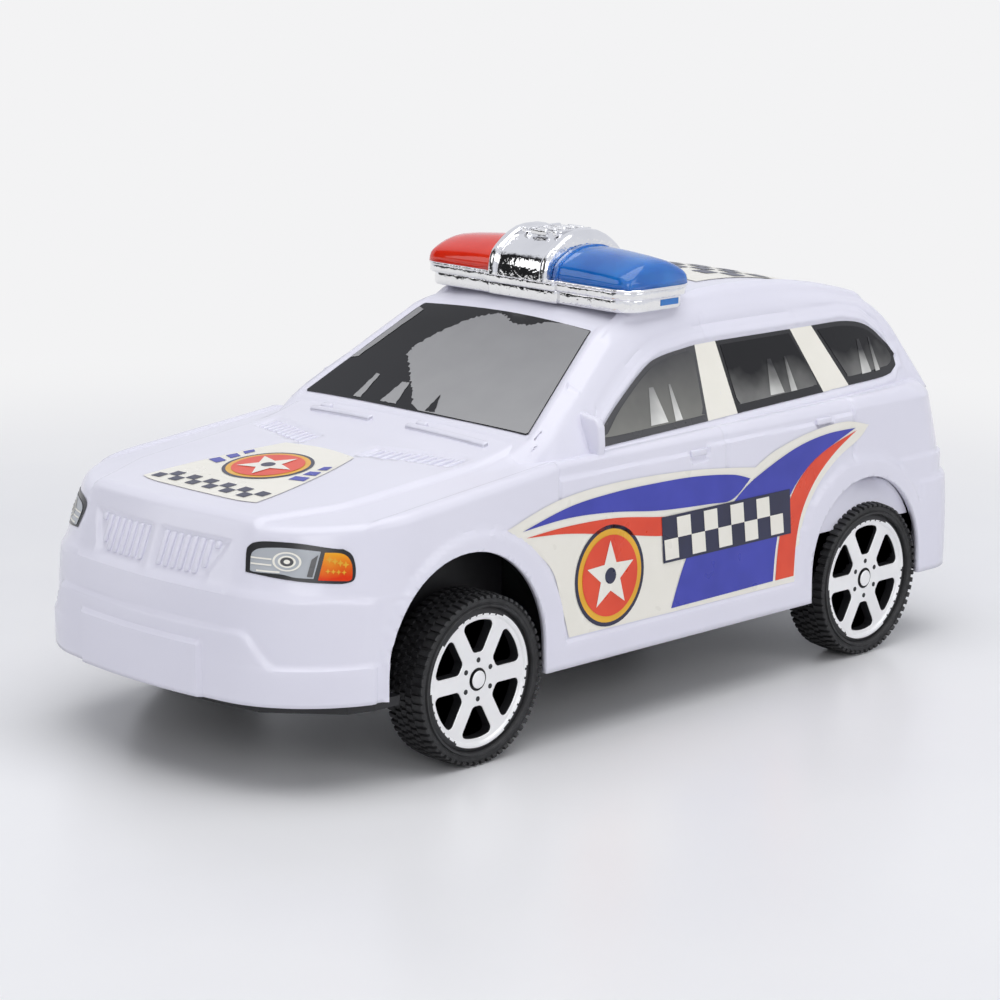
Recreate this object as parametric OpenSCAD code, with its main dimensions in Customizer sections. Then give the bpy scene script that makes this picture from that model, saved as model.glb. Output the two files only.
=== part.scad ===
// Toy patrol car with a flywheel drive: a one-piece moulded shell with printed
// stickers on a black chassis, four tyred wheels and a light bar on the roof.
// +X points to the nose, +Y to the car's left and +Z up; the ground is z = 0.

/* [Body] */
// Distance between the front and the rear axle
wheelbase = 129; // [126:0.5:132]
// Front axle to the face of the front bumper
front_overhang = 53.5; // [52:0.5:56]
// Rear axle to the face of the rear bumper
rear_overhang = 39.5; // [38.5:0.5:42]
// Width over the sills and the wheel arch lips
body_w = 93; // [90:0.5:97]
// Wall of the moulded shell
wall = 1.8; // [1.5:0.1:2.1]
// Underside of the sills above the ground
sill_z = 16; // [15:0.5:17]
// How much higher than the sills the front bumper ends below
bumper_up = 2.6; // [1.6:0.1:3.2]
// Height of the sill strips
sill_h = 5.5; // [4:0.5:6.5]
// How far the sills and arch lips stand proud of the doors
lip_proud = 0.9; // [0.6:0.1:1.3]
// Height of the crease where the doors turn into the shoulder
shoulder_z = 54; // [53:0.5:55]
// How far the doors lean in between the sill and that crease
door_in = 1.4; // [0.8:0.1:2]
// Top of the bumpers above the ground
bumper_z = 40; // [38.5:0.5:41]
// How far the bumpers stand proud of the nose and the tail
bumper_proud = 2.5; // [1.5:0.25:3]
// Height of the bonnet's leading edge
bonnet_z = 54; // [53:0.5:55]
// Height of the bonnet at the foot of the windscreen
cowl_z = 61.5; // [60.5:0.25:62.5]
// Width of the licence plate pad on the front bumper
pad_w = 36.4; // [30:0.5:42]
// Height of the pad's upper edge
pad_z = 29.8; // [26:0.5:33]
// How far the pad stands proud of the bumper
pad_proud = 0.8; // [0.4:0.1:1.2]

/* [Cabin] */
// Height of the lower edge of the side windows
belt_z = 60; // [59:0.5:61]
// Height of the roof's peak
roof_z = 86.8; // [85:0.2:89]
// Drop of the roof from its peak to the windscreen
roof_drop = 2.8; // [2:0.1:3.5]
// Front axle back to the foot of the windscreen
screen_back = 20; // [18.5:0.5:21.5]
// Slope of the windscreen from level, degrees
screen_rake = 31.8; // [30.6:0.2:33]
// Lean of the side windows from upright, degrees
window_lean = 25; // [23:0.5:27]
// Width of the shoulder between the doors and the windows
ledge = 5.6; // [5:0.1:6.2]
// Rear axle back to the foot of the rear window
tail_back = 30; // [29:0.25:31]

/* [Wheels] */
// Tyre diameter
tyre_d = 36; // [34:0.5:38]
// Tyre width
tyre_w = 10; // [9:0.25:11]
// Rim diameter, where the tyre sits
rim_d = 30; // [28:0.5:31]
// How far the tyre faces lie inside the arch lips
wheel_in = 0.5; // [0:0.1:1.5]
// Axle diameter
axle_d = 2.5; // [2:0.1:3]
// Spokes in a wheel
spokes = 6; // [5:1:8]
// Lugs around each tyre shoulder
lugs = 30; // [24:2:36]
// Half width and crown radius of the front wheel arches
arch_r_front = 22.6; // [22.2:0.1:23.4]
// Half width and crown radius of the rear wheel arches
arch_r_rear = 20.3; // [20:0.1:21.5]
// Gap between a tyre and the edge of its arch behind it
arch_gap = 0.8; // [0.6:0.1:1.4]
// Width of the lip around a wheel arch
arch_lip = 3.2; // [2:0.2:4]

/* [Chassis and drive] */
// Thickness of the chassis plate
plate_t = 2; // [1.6:0.1:2.4]
// Diameter of the posts that the chassis is screwed to
post_d = 7; // [6:0.25:8]
// Thread diameter of the screws
screw_d = 2.2; // [1.8:0.1:2.6]
// Head diameter of the screws
screw_head_d = 5.2; // [4.6:0.1:5.6]
// Gear module
gear_m = 0.6; // [0.55:0.01:0.65]
// Teeth on the driven axle's gear
axle_teeth = 26; // [22:2:28]
// Teeth on the small wheel of the idler
idler_pinion_teeth = 10; // [10:1:12]
// Teeth on the large wheel of the idler
idler_teeth = 30; // [26:2:32]
// Teeth on the flywheel's pinion
fly_teeth = 10; // [10:1:12]
// Flywheel diameter
fly_d = 21; // [18:0.5:21.5]
// Flywheel thickness
fly_t = 7; // [5:0.25:8]
// Diameter of the idler's and flywheel's shafts
shaft_d = 2; // [1.6:0.1:2.2]
// Wall of the drive unit's casing
box_wall = 1.5; // [1.2:0.1:1.8]
// Half of the casing's width
box_half = 14.5; // [14:0.25:16]

/* [Light bar] */
// Windscreen's upper edge back to the middle of the light bar
bar_back = 11; // [10:0.25:13]
// Light bar length along the car
bar_l = 25; // [22:0.5:26]
// Light bar width across the car
bar_w = 70; // [66:0.5:72]
// Height of the tray
tray_h = 3.5; // [3:0.25:5]
// Height of the lenses above the tray
lens_h = 6.8; // [6:0.1:9]
// Wall of a lens
lens_wall = 1.2; // [0.9:0.1:1.5]
// Width of the middle housing
hump_w = 18; // [15:0.5:21]
// Height of the middle housing above the tray
hump_h = 9; // [8.5:0.1:12]

/* [Stickers] */
// Thickness of the sticker stock
sticker_t = 0.2; // [0.1:0.05:0.3]
// Margin between a sticker and the edges around it
sticker_edge = 2; // [1.5:0.1:3]

/* [Fits] */
// Running clearance around a shaft, per side
run_fit = 0.05; // [0.03:0.01:0.1]
// Gap of a pressed fit, per side
press_gap = 0.01; // [0.005:0.005:0.02]
// Gap between pieces that lie beside each other
part_gap = 0.3; // [0.2:0.05:0.5]

/* [Hidden] */
$fn = 48;
// a cut runs this far past the face it opens
past = 1;

// Stations along the car
front_x = (wheelbase + front_overhang + rear_overhang) / 2;
axle_f = front_x - front_overhang;
axle_r = axle_f - wheelbase;
axle_z = tyre_d / 2;
nose_x = front_x - pad_proud - bumper_proud;
tail_x = bumper_proud - front_x;
screen_x = axle_f - screen_back;
tail_foot_x = axle_r - tail_back;
arch_f = [axle_f + arch_r_front - axle_z - arch_gap, axle_z + 4.5];
arch_r = [axle_r + arch_r_rear - axle_z - arch_gap, axle_z + 4];
split_x = axle_f - 83;
rear_split_x = axle_r + 5.5;
mirror_x = [screen_x - 18, screen_x - 13.5];

// Widths
half_w = body_w / 2;
door_y = half_w - lip_proud;
window_y = door_y - ledge;
lamp_y = door_y - 15.6;

// Bonnet and nose
nose_top = [nose_x - 4.6, bonnet_z - 2.4];
nose_lean = atan2(nose_x - nose_top.x, nose_top.y - bumper_z);
bonnet_front = [nose_x - 8.5, bonnet_z];
bonnet_rear = [screen_x + 8, cowl_z - 2.1];
bonnet_slope = atan2(bonnet_rear.y - bonnet_front.y, bonnet_front.x - bonnet_rear.x);
cowl_end = [screen_x - 4, cowl_z + 1];
cowl_slope = atan2(cowl_end.y - bonnet_rear.y, bonnet_rear.x - cowl_end.x);
// headlamp face across the front corner, from its inner to its outer edge
nose_bow = 3;
lamp_in = [nose_x - nose_bow, lamp_y];
lamp_out = [nose_x - 15.5, door_y - 2];
// tailgate face from its foot to its head, and the rear corner in plan
tailgate = [[tail_x + 1, bumper_z + 6], [tail_foot_x + 0.3, cowl_z - 0.5]];
tail_in = [tail_x + 1, door_y - 13.6];
tail_out = [tail_x + 3.5, door_y - 3.6];
// raised bonnet panel: half width at its front, spread in plan, and fender slope
panel_y = lamp_y - 5;
panel_spread = 10.6;
fender_slope = 3.8;
fender_z = bonnet_z - 1.6;

// Roof curve, highest at peak_x
screen_foot_z = cowl_z - 0.3;
screen_top_z = roof_z - roof_drop;
screen_top_x = screen_x - (screen_top_z - screen_foot_z) / tan(screen_rake);
peak_x = screen_top_x - 33.7;
tail_top_x = tail_foot_x + 11.5;
roof_steps = 12;
function roof_at(x) = roof_z - roof_drop * pow((x - peak_x) / (screen_top_x - peak_x), 2);
function roof_curve() =
    [for (k = [0:roof_steps])
        let (x = screen_top_x + (tail_top_x - screen_top_x) * k / roof_steps)
        [x, roof_at(x)]];
function bonnet_at(x) = bonnet_z + (bonnet_front.x - x) * tan(bonnet_slope);
roof_y = window_y - (roof_z - 5.8 - belt_z) * tan(window_lean);

// Chassis levels
plate_z = sill_z + 0.5;
plate_top = plate_z + plate_t;
head_floor = 2;
boss_top = plate_top + head_floor + 1.5;
screw_head_h = 0.46 * screw_head_d;
screw_grip = 3.6 * screw_d;
bearing_y = half_w - wheel_in - tyre_w - 3;
liner_t = 2;
posts = [[axle_f + 29, 20, bonnet_at(axle_f + 29)], [axle_r + 26.5, 12, roof_at(axle_r + 26.5)]];

// Gear train: stubby teeth keep the small pinions free of undercut
pressure = 25;
gear_slack = 0.07;
function pitch_r(teeth) = gear_m * teeth / 2;
function tip_r(teeth) = pitch_r(teeth) + 0.8 * gear_m;
function root_r(teeth) = pitch_r(teeth) - 1.1 * gear_m;
function base_r(teeth) = pitch_r(teeth) * cos(pressure);
function involute(a) = tan(a) * 180 / PI - a;
mesh_1 = 120;
mesh_2 = 150;
function step_to(p, a, r) = [p.x + r * cos(a), p.y + r * sin(a)];
axle_p = [axle_f, axle_z];
idler_p = step_to(axle_p, mesh_1, pitch_r(axle_teeth) + pitch_r(idler_pinion_teeth));
fly_p = step_to(idler_p, mesh_2, pitch_r(idler_teeth) + pitch_r(fly_teeth));
// stations across the drive unit, left of the middle positive
axle_gear_y = box_half * [0.41, 0.69];
idler_pinion_y = box_half * [0.36, 0.745];
idler_gear_y = box_half * [0.055, 0.303];
fly_pinion_y = box_half * [0.014, 0.345];
fly_y = [-0.2 * box_half - fly_t, -0.2 * box_half];
gear_room = 1;

// Light bar levels
bar_x = screen_top_x - bar_back;
bar_seat_z = roof_z - 0.5;
tray_z = bar_seat_z + 0.7;
tray_top = tray_z + tray_h;
foot_y = 22;
foot_size = [16, 6];
clip_size = [8, 1.6];
lens_y = [hump_w / 2 + part_gap, bar_w / 2 - 0.5];
tab_size = [8, 1.4];

// Outline helpers: a half outline becomes a whole one, and moves in by a wall
function both_x(h) = concat(h, [for (k = [len(h) - 1:-1:0]) [-h[k].x, h[k].y]]);
function both_y(h) = concat(h, [for (k = [len(h) - 1:-1:0]) [h[k].x, -h[k].y]]);
function unit(v) = v / norm(v);
function left_of(v) = [-v.y, v.x];
function moved_in(a, b, c, d) =
    let (m = left_of(unit(b - a)), n = left_of(unit(c - b)))
    b + d * (m + n) / (1 + m * n);
function inset(p, d) =
    let (n = len(p))
    [for (k = [0:n - 1]) moved_in(p[(k + n - 1) % n], p[k], p[(k + 1) % n], d)];
function arc(c, r, a0, a1, n) = [for (k = [0:n]) step_to(c, a0 + (a1 - a0) * k / n, r)];

// Outlines of the lower body
function plan() = both_y(concat(
    [for (t = [0.2:0.2:1]) [nose_x - nose_bow * t * t, lamp_y * t]],
    [lamp_out, [nose_x - 22, door_y], [tail_x + 9.5, door_y], tail_out, tail_in, [tail_x, 10]]));
function side_low(low) = [
    [tail_x, low], [nose_x, low], [nose_x, bumper_z], nose_top, bonnet_front, bonnet_rear,
    cowl_end, tailgate[1], tailgate[0], [tail_x, bumper_z - 1]];
function door_at(z) = door_y - door_in * (z - sill_z) / (shoulder_z - sill_z);
function section_low(low) = both_x([
    [door_at(low), low], [door_at(shoulder_z), shoulder_z],
    [door_y - ledge / 2, (shoulder_z + belt_z) / 2], [window_y - 2, belt_z + 2]]);

// Outlines of the cabin
function side_up(low) = concat(
    [[tail_foot_x, low], [screen_x, low], [screen_x, screen_foot_z]],
    roof_curve(),
    [[tail_foot_x, cowl_z]]);
function section_up(low) = both_x([
    [window_y, low], [window_y, belt_z], [roof_y, roof_z - 5.8], [roof_y - 2.7, roof_z - 2.5],
    [roof_y - 8.2, roof_z + 0.1], [roof_y - 10.2, roof_z + 0.7]]);
function plan_up() = both_y([
    [screen_x + past, window_y - 4], [screen_x - 9, door_y], [tail_foot_x + 9, door_y],
    [tail_foot_x - past, window_y - 12]]);

// Extrusions along the car, across it, and between two stations across it
module along_x(x0, x1) {
    translate([x0, 0, 0])
        rotate([90, 0, 90])
            linear_extrude(x1 - x0)
                children();
}

module across(y0, y1) {
    translate([0, y1, 0])
        rotate([90, 0, 0])
            linear_extrude(y1 - y0)
                children();
}

module rod(p, y0, y1, d) {
    translate([p.x, y1, p.y])
        rotate([90, 0, 0])
            cylinder(d = d, h = y1 - y0);
}

module box(low, high) {
    translate(low)
        cube(high - low);
}

module mirrored() {
    children();
    mirror([0, 1, 0])
        children();
}

// Fenders: what is cut away beside the raised bonnet panel
module fender_cut(skin) {
    run = bonnet_front.x - screen_x + 14;
    mirrored()
        translate([bonnet_front.x + 10, panel_y - 2 - skin, fender_z - 0.7 - skin])
            rotate([0, fender_slope, -panel_spread])
                along_x(-run, 14)
                    polygon([[-1.5, 9], [1.5, 0.4], [10, -0.4], [15, -2], [20, -5], [32, -12], [32, 9]]);
}

module tub_form(skin, low) {
    difference() {
        intersection() {
            across(-half_w - past, half_w + past)
                polygon(inset(side_low(low), skin));
            along_x(tail_x - past, nose_x + past)
                polygon(inset(section_low(low), skin));
            translate([0, 0, low - past])
                linear_extrude(roof_z)
                    polygon(inset(plan(), skin));
        }
        fender_cut(skin);
    }
}

module cabin_form(skin, low) {
    intersection() {
        across(-half_w, half_w)
            polygon(inset(side_up(low), skin));
        along_x(tail_foot_x - past, screen_x + past)
            polygon(inset(section_up(low), skin));
        translate([0, 0, low - past])
            linear_extrude(roof_z)
                polygon(inset(plan_up(), skin));
    }
}

module bumpers() {
    intersection() {
        translate([0, 0, sill_z + 1])
            linear_extrude(bumper_z - sill_z - 1)
                polygon(inset(plan(), -bumper_proud));
        union() {
            box([arch_f.x + arch_r_front + 1, -half_w, 0], [front_x, half_w, bumper_z]);
            box([-front_x, -half_w, 0], [arch_r.x - arch_r_rear - 1, half_w, bumper_z - 1]);
        }
    }
    box([nose_x - wall, -pad_w / 2, sill_z + 1], [front_x, pad_w / 2, pad_z]);
}

// A wheel arch: a round crown on upright flanks that run down past the sills
module arch(c, r, y0, y1) {
    mirrored() {
        rod(c, y0, y1, 2 * r);
        box([c.x - r, y0, sill_z - past], [c.x + r, y1, c.y]);
    }
}

// The rear wheels turn in wells of the shell: a roof, two flanks and an inner wall
module rear_wells() {
    difference() {
        intersection() {
            arch(arch_r, arch_r_rear + wall, bearing_y - wall, door_y - wall);
            box([-front_x, -half_w, axle_z + 7], [0, half_w, roof_z]);
        }
        arch(arch_r, arch_r_rear, bearing_y, half_w + past);
    }
}

// The bumpers end higher above the ground than the sills
module bumper_undercut() {
    side = half_w + past;
    box([arch_f.x, -side, sill_z - past], [front_x + past, side, sill_z + bumper_up]);
    box([-front_x - past, -side, sill_z - past], [arch_r.x, side, sill_z + 0.6 * bumper_up]);
}

module sills_and_lips() {
    intersection() {
        union() {
            arch(arch_f, arch_r_front + arch_lip, door_y - 3, half_w);
            arch(arch_r, arch_r_rear + arch_lip, door_y - 3, half_w);
        }
        box([-front_x, -half_w, sill_z], [front_x, half_w, roof_z]);
    }
    mirrored()
        box([arch_r.x, door_y - wall, sill_z], [arch_f.x, half_w, sill_z + sill_h]);
}

// Twin upright-barred grilles on the leaning nose
module grilles() {
    slots = 7;
    slot_w = 1.3;
    inner = 1.6;
    outer = 19;
    pitch = (outer - inner) / slots;
    translate([nose_x, 0, bumper_z])
        rotate([0, -nose_lean, 0])
            mirrored()
                difference() {
                    along_x(-1.2, 0.7)
                        polygon([[inner, 2.6], [inner + 1.5, 1.6], [outer - 3.5, 2.2], [outer, 5],
                            [outer, 9.6], [outer - 1.5, 11], [inner + 1.2, 10.4], [inner, 9.4]]);
                    for (k = [0:slots - 1])
                        box([0, inner + pitch * (k + 0.5) - slot_w / 2, 3.2],
                            [2, inner + pitch * (k + 0.5) + slot_w / 2, 9.2]);
                }
}

module bonnet_vents() {
    slots = 9;
    pitch = 2.1;
    mirrored()
        translate([bonnet_front.x, 0, bonnet_front.y])
            rotate([0, bonnet_slope, 0])
                for (k = [0:slots - 1])
                    translate([-(bonnet_front.x - screen_x - 12.5), 9.5 + pitch * k, -0.8])
                        rotate([0, 0, 25])
                            box([-3, -0.5, 0], [3, 0.5, 3]);
}

module wipers() {
    blade = 23;
    for (y = [-18, 8])
        translate([screen_x + 4, y, cowl_z - 1.1])
            rotate([0, cowl_slope, 0])
                box([-0.7, -blade / 2, -1.2], [0.7, blade / 2, 1.1]);
}

module mirrors() {
    mirrored()
        along_x(mirror_x[0], mirror_x[1])
            polygon([[window_y - 1, belt_z - 5], [window_y + 4.2, belt_z - 5], [window_y + 4.9, belt_z + 3],
                [window_y + 3.6, belt_z + 7.8], [window_y + 2, belt_z + 8.4], [window_y - 3, belt_z + 6]]);
}

module door_handles() {
    mirrored() {
        box([split_x + 1, door_y - 4, shoulder_z - 2], [split_x + 8, door_y + 0.3, shoulder_z + 1.5]);
        box([rear_split_x + 1, door_y - 4, shoulder_z + 1], [rear_split_x + 8, door_y - 1, shoulder_z + 4]);
    }
}

module roof_rails() {
    x0 = tail_top_x + 1;
    x1 = screen_top_x - 4;
    xs = [for (k = [0:roof_steps]) x0 + (x1 - x0) * k / roof_steps];
    mirrored()
        across(roof_y - 3.2, roof_y - 0.8)
            polygon(concat([for (x = xs) [x, roof_at(x) - 8]],
                [for (k = [roof_steps:-1:0]) [xs[k], roof_at(xs[k]) - 0.9]]));
}

module bar_plinths() {
    mirrored()
        box([bar_x - foot_size.x / 2, foot_y - foot_size.y / 2, roof_z - 6],
            [bar_x + foot_size.x / 2, foot_y + foot_size.y / 2, bar_seat_z]);
}

module clip_slots() {
    grow = part_gap / 2;
    mirrored()
        box([bar_x - clip_size.x / 2 - grow, foot_y - clip_size.y / 2 - grow, roof_z - 12],
            [bar_x + clip_size.x / 2 + grow, foot_y + clip_size.y / 2 + 1 + grow, roof_z + past]);
}

module screw_posts() {
    for (p = posts)
        mirrored()
            difference() {
                translate([p.x, p.y, boss_top])
                    cylinder(d = post_d, h = p.z - wall / 2 - boss_top);
                translate([p.x, p.y, boss_top - past])
                    cylinder(d = screw_d + 2 * press_gap, h = screw_grip + 2 * past);
            }
}

module body_shell() {
    color("ghostwhite")
        union() {
            difference() {
                union() {
                    tub_form(0, sill_z);
                    cabin_form(0, belt_z - 3);
                    bumpers();
                    sills_and_lips();
                    grilles();
                    wipers();
                    mirrors();
                    door_handles();
                    roof_rails();
                    bar_plinths();
                }
                tub_form(wall, sill_z - 12);
                cabin_form(wall, belt_z - 12);
                arch(arch_f, arch_r_front, window_y - 5, half_w + past);
                arch(arch_r, arch_r_rear, window_y - 5, half_w + past);
                bonnet_vents();
                clip_slots();
                bumper_undercut();
            }
            screw_posts();
            rear_wells();
        }
}

// Chassis plate with wheel notches, bearings, drive bay and screw bosses
module wheel_notches() {
    reach = tyre_d / 2 + 3;
    for (x = [axle_f, axle_r])
        mirrored()
            box([x - reach, bearing_y, 0], [x + reach, half_w + past, roof_z]);
}

module drive_bay() {
    p = inset(case_outline(), -box_wall - 0.5);
    xs = [for (q = p) q.x];
    box([min(xs), -box_half - 0.5, 0], [max(xs), box_half + 0.5, plate_top + past]);
}

module screw_boss(p) {
    translate([p.x, p.y, plate_z])
        cylinder(d = post_d + 3, h = boss_top - plate_z);
}

module boss_bore(p) {
    translate([p.x, p.y, plate_z - past])
        cylinder(d = screw_head_d + 2 * part_gap, h = boss_top - head_floor - plate_z + past);
    translate([p.x, p.y, plate_z])
        cylinder(d = screw_d + 2 * part_gap, h = boss_top);
}

function drive_screw_places() =
    let (p = inset(case_outline(), -box_wall), xs = [for (q = p) q.x])
    [for (x = [min(xs) - 4.5, max(xs) + 4.5]) for (y = [-7, 7]) [x, y]];

module chassis() {
    color("#1c1c1e")
        difference() {
            union() {
                translate([0, 0, plate_z])
                    linear_extrude(plate_t)
                        polygon(inset(plan(), wall + part_gap));
                box([axle_r - 5, -bearing_y, axle_z - 3.5], [axle_r + 5, bearing_y, axle_z + 4]);
                mirrored() {
                    box([axle_f - axle_z - arch_gap, bearing_y - liner_t, plate_z],
                        [arch_f.x + arch_r_front, bearing_y, arch_f.y + arch_r_front]);
                    for (p = posts)
                        screw_boss(p);
                }
                for (p = drive_screw_places())
                    translate([p.x, p.y, plate_z - 4])
                        cylinder(d = post_d - 0.5, h = 4 + plate_t / 2);
            }
            wheel_notches();
            drive_bay();
            box([axle_f - axle_d, -bearing_y + liner_t, 0],
                [axle_f + axle_d, bearing_y - liner_t, plate_top + past]);
            for (x = [axle_f, axle_r])
                rod([x, axle_z], -half_w, half_w, axle_d + 2 * run_fit);
            mirrored()
                for (p = posts)
                    boss_bore(p);
            for (p = drive_screw_places())
                translate([p.x, p.y, plate_z - 3])
                    cylinder(d = screw_d + 2 * press_gap, h = 3 + plate_t + past);
        }
}

module screw(grip) {
    cylinder(d = screw_head_d, h = screw_head_h);
    cylinder(d = screw_d, h = screw_head_h + grip);
}

module chassis_screws() {
    color("silver")
        mirrored()
            for (p = posts)
                translate([p.x, p.y, boss_top - head_floor - screw_head_h])
                    screw(screw_grip);
}

module drive_screws() {
    color("silver")
        for (p = drive_screw_places())
            translate([p.x, p.y, plate_top + 2 + screw_head_h])
                mirror([0, 0, 1])
                    screw(plate_t + 4);
}

// Axles run past the bearings into the wheels
module axle(x) {
    reach = half_w - wheel_in - 3.2;
    color("silver")
        rod([x, axle_z], -reach, reach, axle_d);
}

module front_axle() {
    axle(axle_f);
}

module rear_axle() {
    axle(axle_r);
}

// A wheel lies along +Z: its inner face at 0 and its outer face at tyre_w
module set_wheel(x, side) {
    mirror([0, side < 0 ? 1 : 0, 0])
        translate([x, half_w - wheel_in - tyre_w, axle_z])
            rotate([-90, 0, 0])
                children();
}

module spoke_windows() {
    web_r = rim_d / 2 - 2.6;
    for (k = [0:spokes - 1])
        rotate([0, 0, 360 * (k + 0.5) / spokes])
            linear_extrude(tyre_w + past)
                polygon([[5.6, -1.9], [web_r, -25.2 / spokes], [web_r, 25.2 / spokes], [5.6, 1.9]]);
}

module rim() {
    barrel = rim_d / 2;
    boss = 3 - part_gap;
    web = [tyre_w - 3.6, tyre_w - 1.2];
    color("silver")
        difference() {
            rotate_extrude()
                polygon([[0, -boss], [3.6, -boss], [3.6, web[0]], [barrel - 1.8, web[0]],
                    [barrel - 1.8, 0.6], [barrel, 0.6], [barrel, tyre_w - 0.6],
                    [barrel - 1.2, tyre_w - 0.6], [barrel - 1.9, web[1]],
                    [2.4, web[1]], [2.1, web[1] + 0.6], [0, web[1] + 0.6]]);
            spoke_windows();
            for (k = [0:spokes - 1])
                rotate([0, 0, 360 * (k + 0.5) / spokes])
                    translate([4.2, 0, web[1] - 0.8])
                        cylinder(d = 1, h = 2);
            translate([0, 0, -boss - past])
                cylinder(d = axle_d + 2 * press_gap, h = tyre_w - 3.2 + boss + past + press_gap);
        }
}

module tyre() {
    inner = rim_d / 2 + press_gap;
    outer = tyre_d / 2;
    lug_w = 1;
    color("#161617")
        difference() {
            rotate_extrude()
                polygon([[inner, 0.6], [inner + 1.2, 0], [outer - 1.4, 0], [outer - 0.4, 0.7], [outer, 2],
                    [outer, tyre_w - 2], [outer - 0.4, tyre_w - 0.7], [outer - 1.4, tyre_w],
                    [inner + 1.2, tyre_w], [inner, tyre_w - 0.6]]);
            for (k = [0:lugs - 1])
                rotate([0, 0, 360 * k / lugs])
                    for (a = [-past, tyre_w - 1.8])
                        box([outer - 1.1, -lug_w / 2, a], [outer + past, lug_w / 2, a + 1.8 + past]);
        }
}

module rim_front_left() {
    set_wheel(axle_f, 1)
        rim();
}

module rim_front_right() {
    set_wheel(axle_f, -1)
        rim();
}

module rim_rear_left() {
    set_wheel(axle_r, 1)
        rim();
}

module rim_rear_right() {
    set_wheel(axle_r, -1)
        rim();
}

module tyre_front_left() {
    set_wheel(axle_f, 1)
        tyre();
}

module tyre_front_right() {
    set_wheel(axle_f, -1)
        tyre();
}

module tyre_rear_left() {
    set_wheel(axle_r, 1)
        tyre();
}

module tyre_rear_right() {
    set_wheel(axle_r, -1)
        tyre();
}

// Involute gear outlines
function tooth_half(teeth, r) =
    90 / teeth - gear_slack / pitch_r(teeth) * 180 / PI + involute(pressure)
    - involute(acos(min(1, base_r(teeth) / r)));
function polar(r, a) = [r * cos(a), r * sin(a)];
function tooth(teeth) =
    let (low = max(base_r(teeth), root_r(teeth)), high = tip_r(teeth), n = 4,
        rs = [for (k = [0:n]) low + (high - low) * k / n],
        foot = tooth_half(teeth, low))
    concat([polar(root_r(teeth), -foot)],
        [for (r = rs) polar(r, -tooth_half(teeth, r))],
        [for (k = [n:-1:0]) polar(rs[k], tooth_half(teeth, rs[k]))],
        [polar(root_r(teeth), foot)]);
function turned(p, a) = [p.x * cos(a) - p.y * sin(a), p.x * sin(a) + p.y * cos(a)];
function clean(p) = [for (k = [0:len(p) - 1]) if (norm(p[k] - p[(k + 1) % len(p)]) > 0.005) p[k]];
function gear_outline(teeth, a) =
    clean([for (k = [0:teeth - 1]) for (p = tooth(teeth)) turned(p, a + 360 * k / teeth)]);

// A toothed wheel between two stations, with a tooth pointing along angle a
module gear(p, ys, teeth, a) {
    translate([p.x, 0, p.y])
        across(ys[0], ys[1])
            polygon(gear_outline(teeth, a));
}

module bore(p, d) {
    rod(p, -half_w, half_w, d + 2 * press_gap);
}

module axle_gear() {
    color("khaki")
        difference() {
            union() {
                gear(axle_p, axle_gear_y, axle_teeth, mesh_1);
                rod(axle_p, axle_gear_y[0] - 1, axle_gear_y[1] + 1, 2.2 * axle_d);
            }
            bore(axle_p, axle_d);
        }
}

module idler_gear() {
    color("khaki")
        difference() {
            union() {
                gear(idler_p, idler_pinion_y, idler_pinion_teeth, mesh_1 + 180 + 180 / idler_pinion_teeth);
                gear(idler_p, idler_gear_y, idler_teeth, mesh_2);
                rod(idler_p, idler_gear_y[0] - 0.5, idler_pinion_y[1] - 0.5,
                    2 * root_r(idler_pinion_teeth) - 0.3);
            }
            bore(idler_p, shaft_d);
        }
}

module flywheel_pinion() {
    color("khaki")
        difference() {
            gear(fly_p, fly_pinion_y, fly_teeth, mesh_2 + 180 + 180 / fly_teeth);
            bore(fly_p, shaft_d);
        }
}

module flywheel() {
    color("dimgray")
        difference() {
            union() {
                rod(fly_p, fly_y[0], fly_y[1], fly_d);
                rod(fly_p, fly_y[0] - 1, fly_y[1] + 1, 3 * shaft_d);
            }
            bore(fly_p, shaft_d);
        }
}

module shaft(p) {
    reach = box_half - box_wall / 2;
    color("silver")
        rod(p, -reach, reach, shaft_d);
}

module idler_shaft() {
    shaft(idler_p);
}

module flywheel_shaft() {
    shaft(fly_p);
}

// Inside outline of the drive casing, around every wheel of the train
function case_outline() =
    let (x0 = fly_p.x - fly_d / 2 - gear_room,
        x1 = axle_p.x + tip_r(axle_teeth) + gear_room,
        z0 = axle_p.y - tip_r(axle_teeth) - gear_room,
        z1 = fly_p.y + fly_d / 2 + gear_room)
    [[x0, fly_p.y - fly_d / 2], [axle_p.x - tip_r(axle_teeth) - gear_room, z0], [x1, z0],
        [x1, axle_p.y + tip_r(axle_teeth) + gear_room], [fly_p.x + fly_d / 2 + gear_room, z1], [x0, z1]];

module case_half() {
    tab_t = 2;
    xs = [for (p = drive_screw_places()) p.x];
    difference() {
        union() {
            across(0, box_half)
                polygon(inset(case_outline(), -box_wall));
            box([min(xs) - 3.5, 3, plate_top], [axle_p.x, 11, plate_top + tab_t]);
            box([axle_p.x, 3, plate_top], [max(xs) + 3.5, 11, plate_top + tab_t]);
        }
        across(-past, box_half - box_wall)
            polygon(case_outline());
        rod(axle_p, 0, box_half + past, axle_d + 2 * run_fit);
        rod(idler_p, 0, box_half + past, shaft_d + 2 * run_fit);
        rod(fly_p, 0, box_half + past, shaft_d + 2 * run_fit);
        for (p = drive_screw_places())
            if (p.y > 0)
                translate([p.x, p.y, plate_z])
                    cylinder(d = screw_d + 2 * part_gap, h = plate_t + tab_t + past);
    }
}

module drive_case_left() {
    color("#2a2a2e")
        case_half();
}

module drive_case_right() {
    color("#2a2a2e")
        mirror([0, 1, 0])
            case_half();
}

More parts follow.
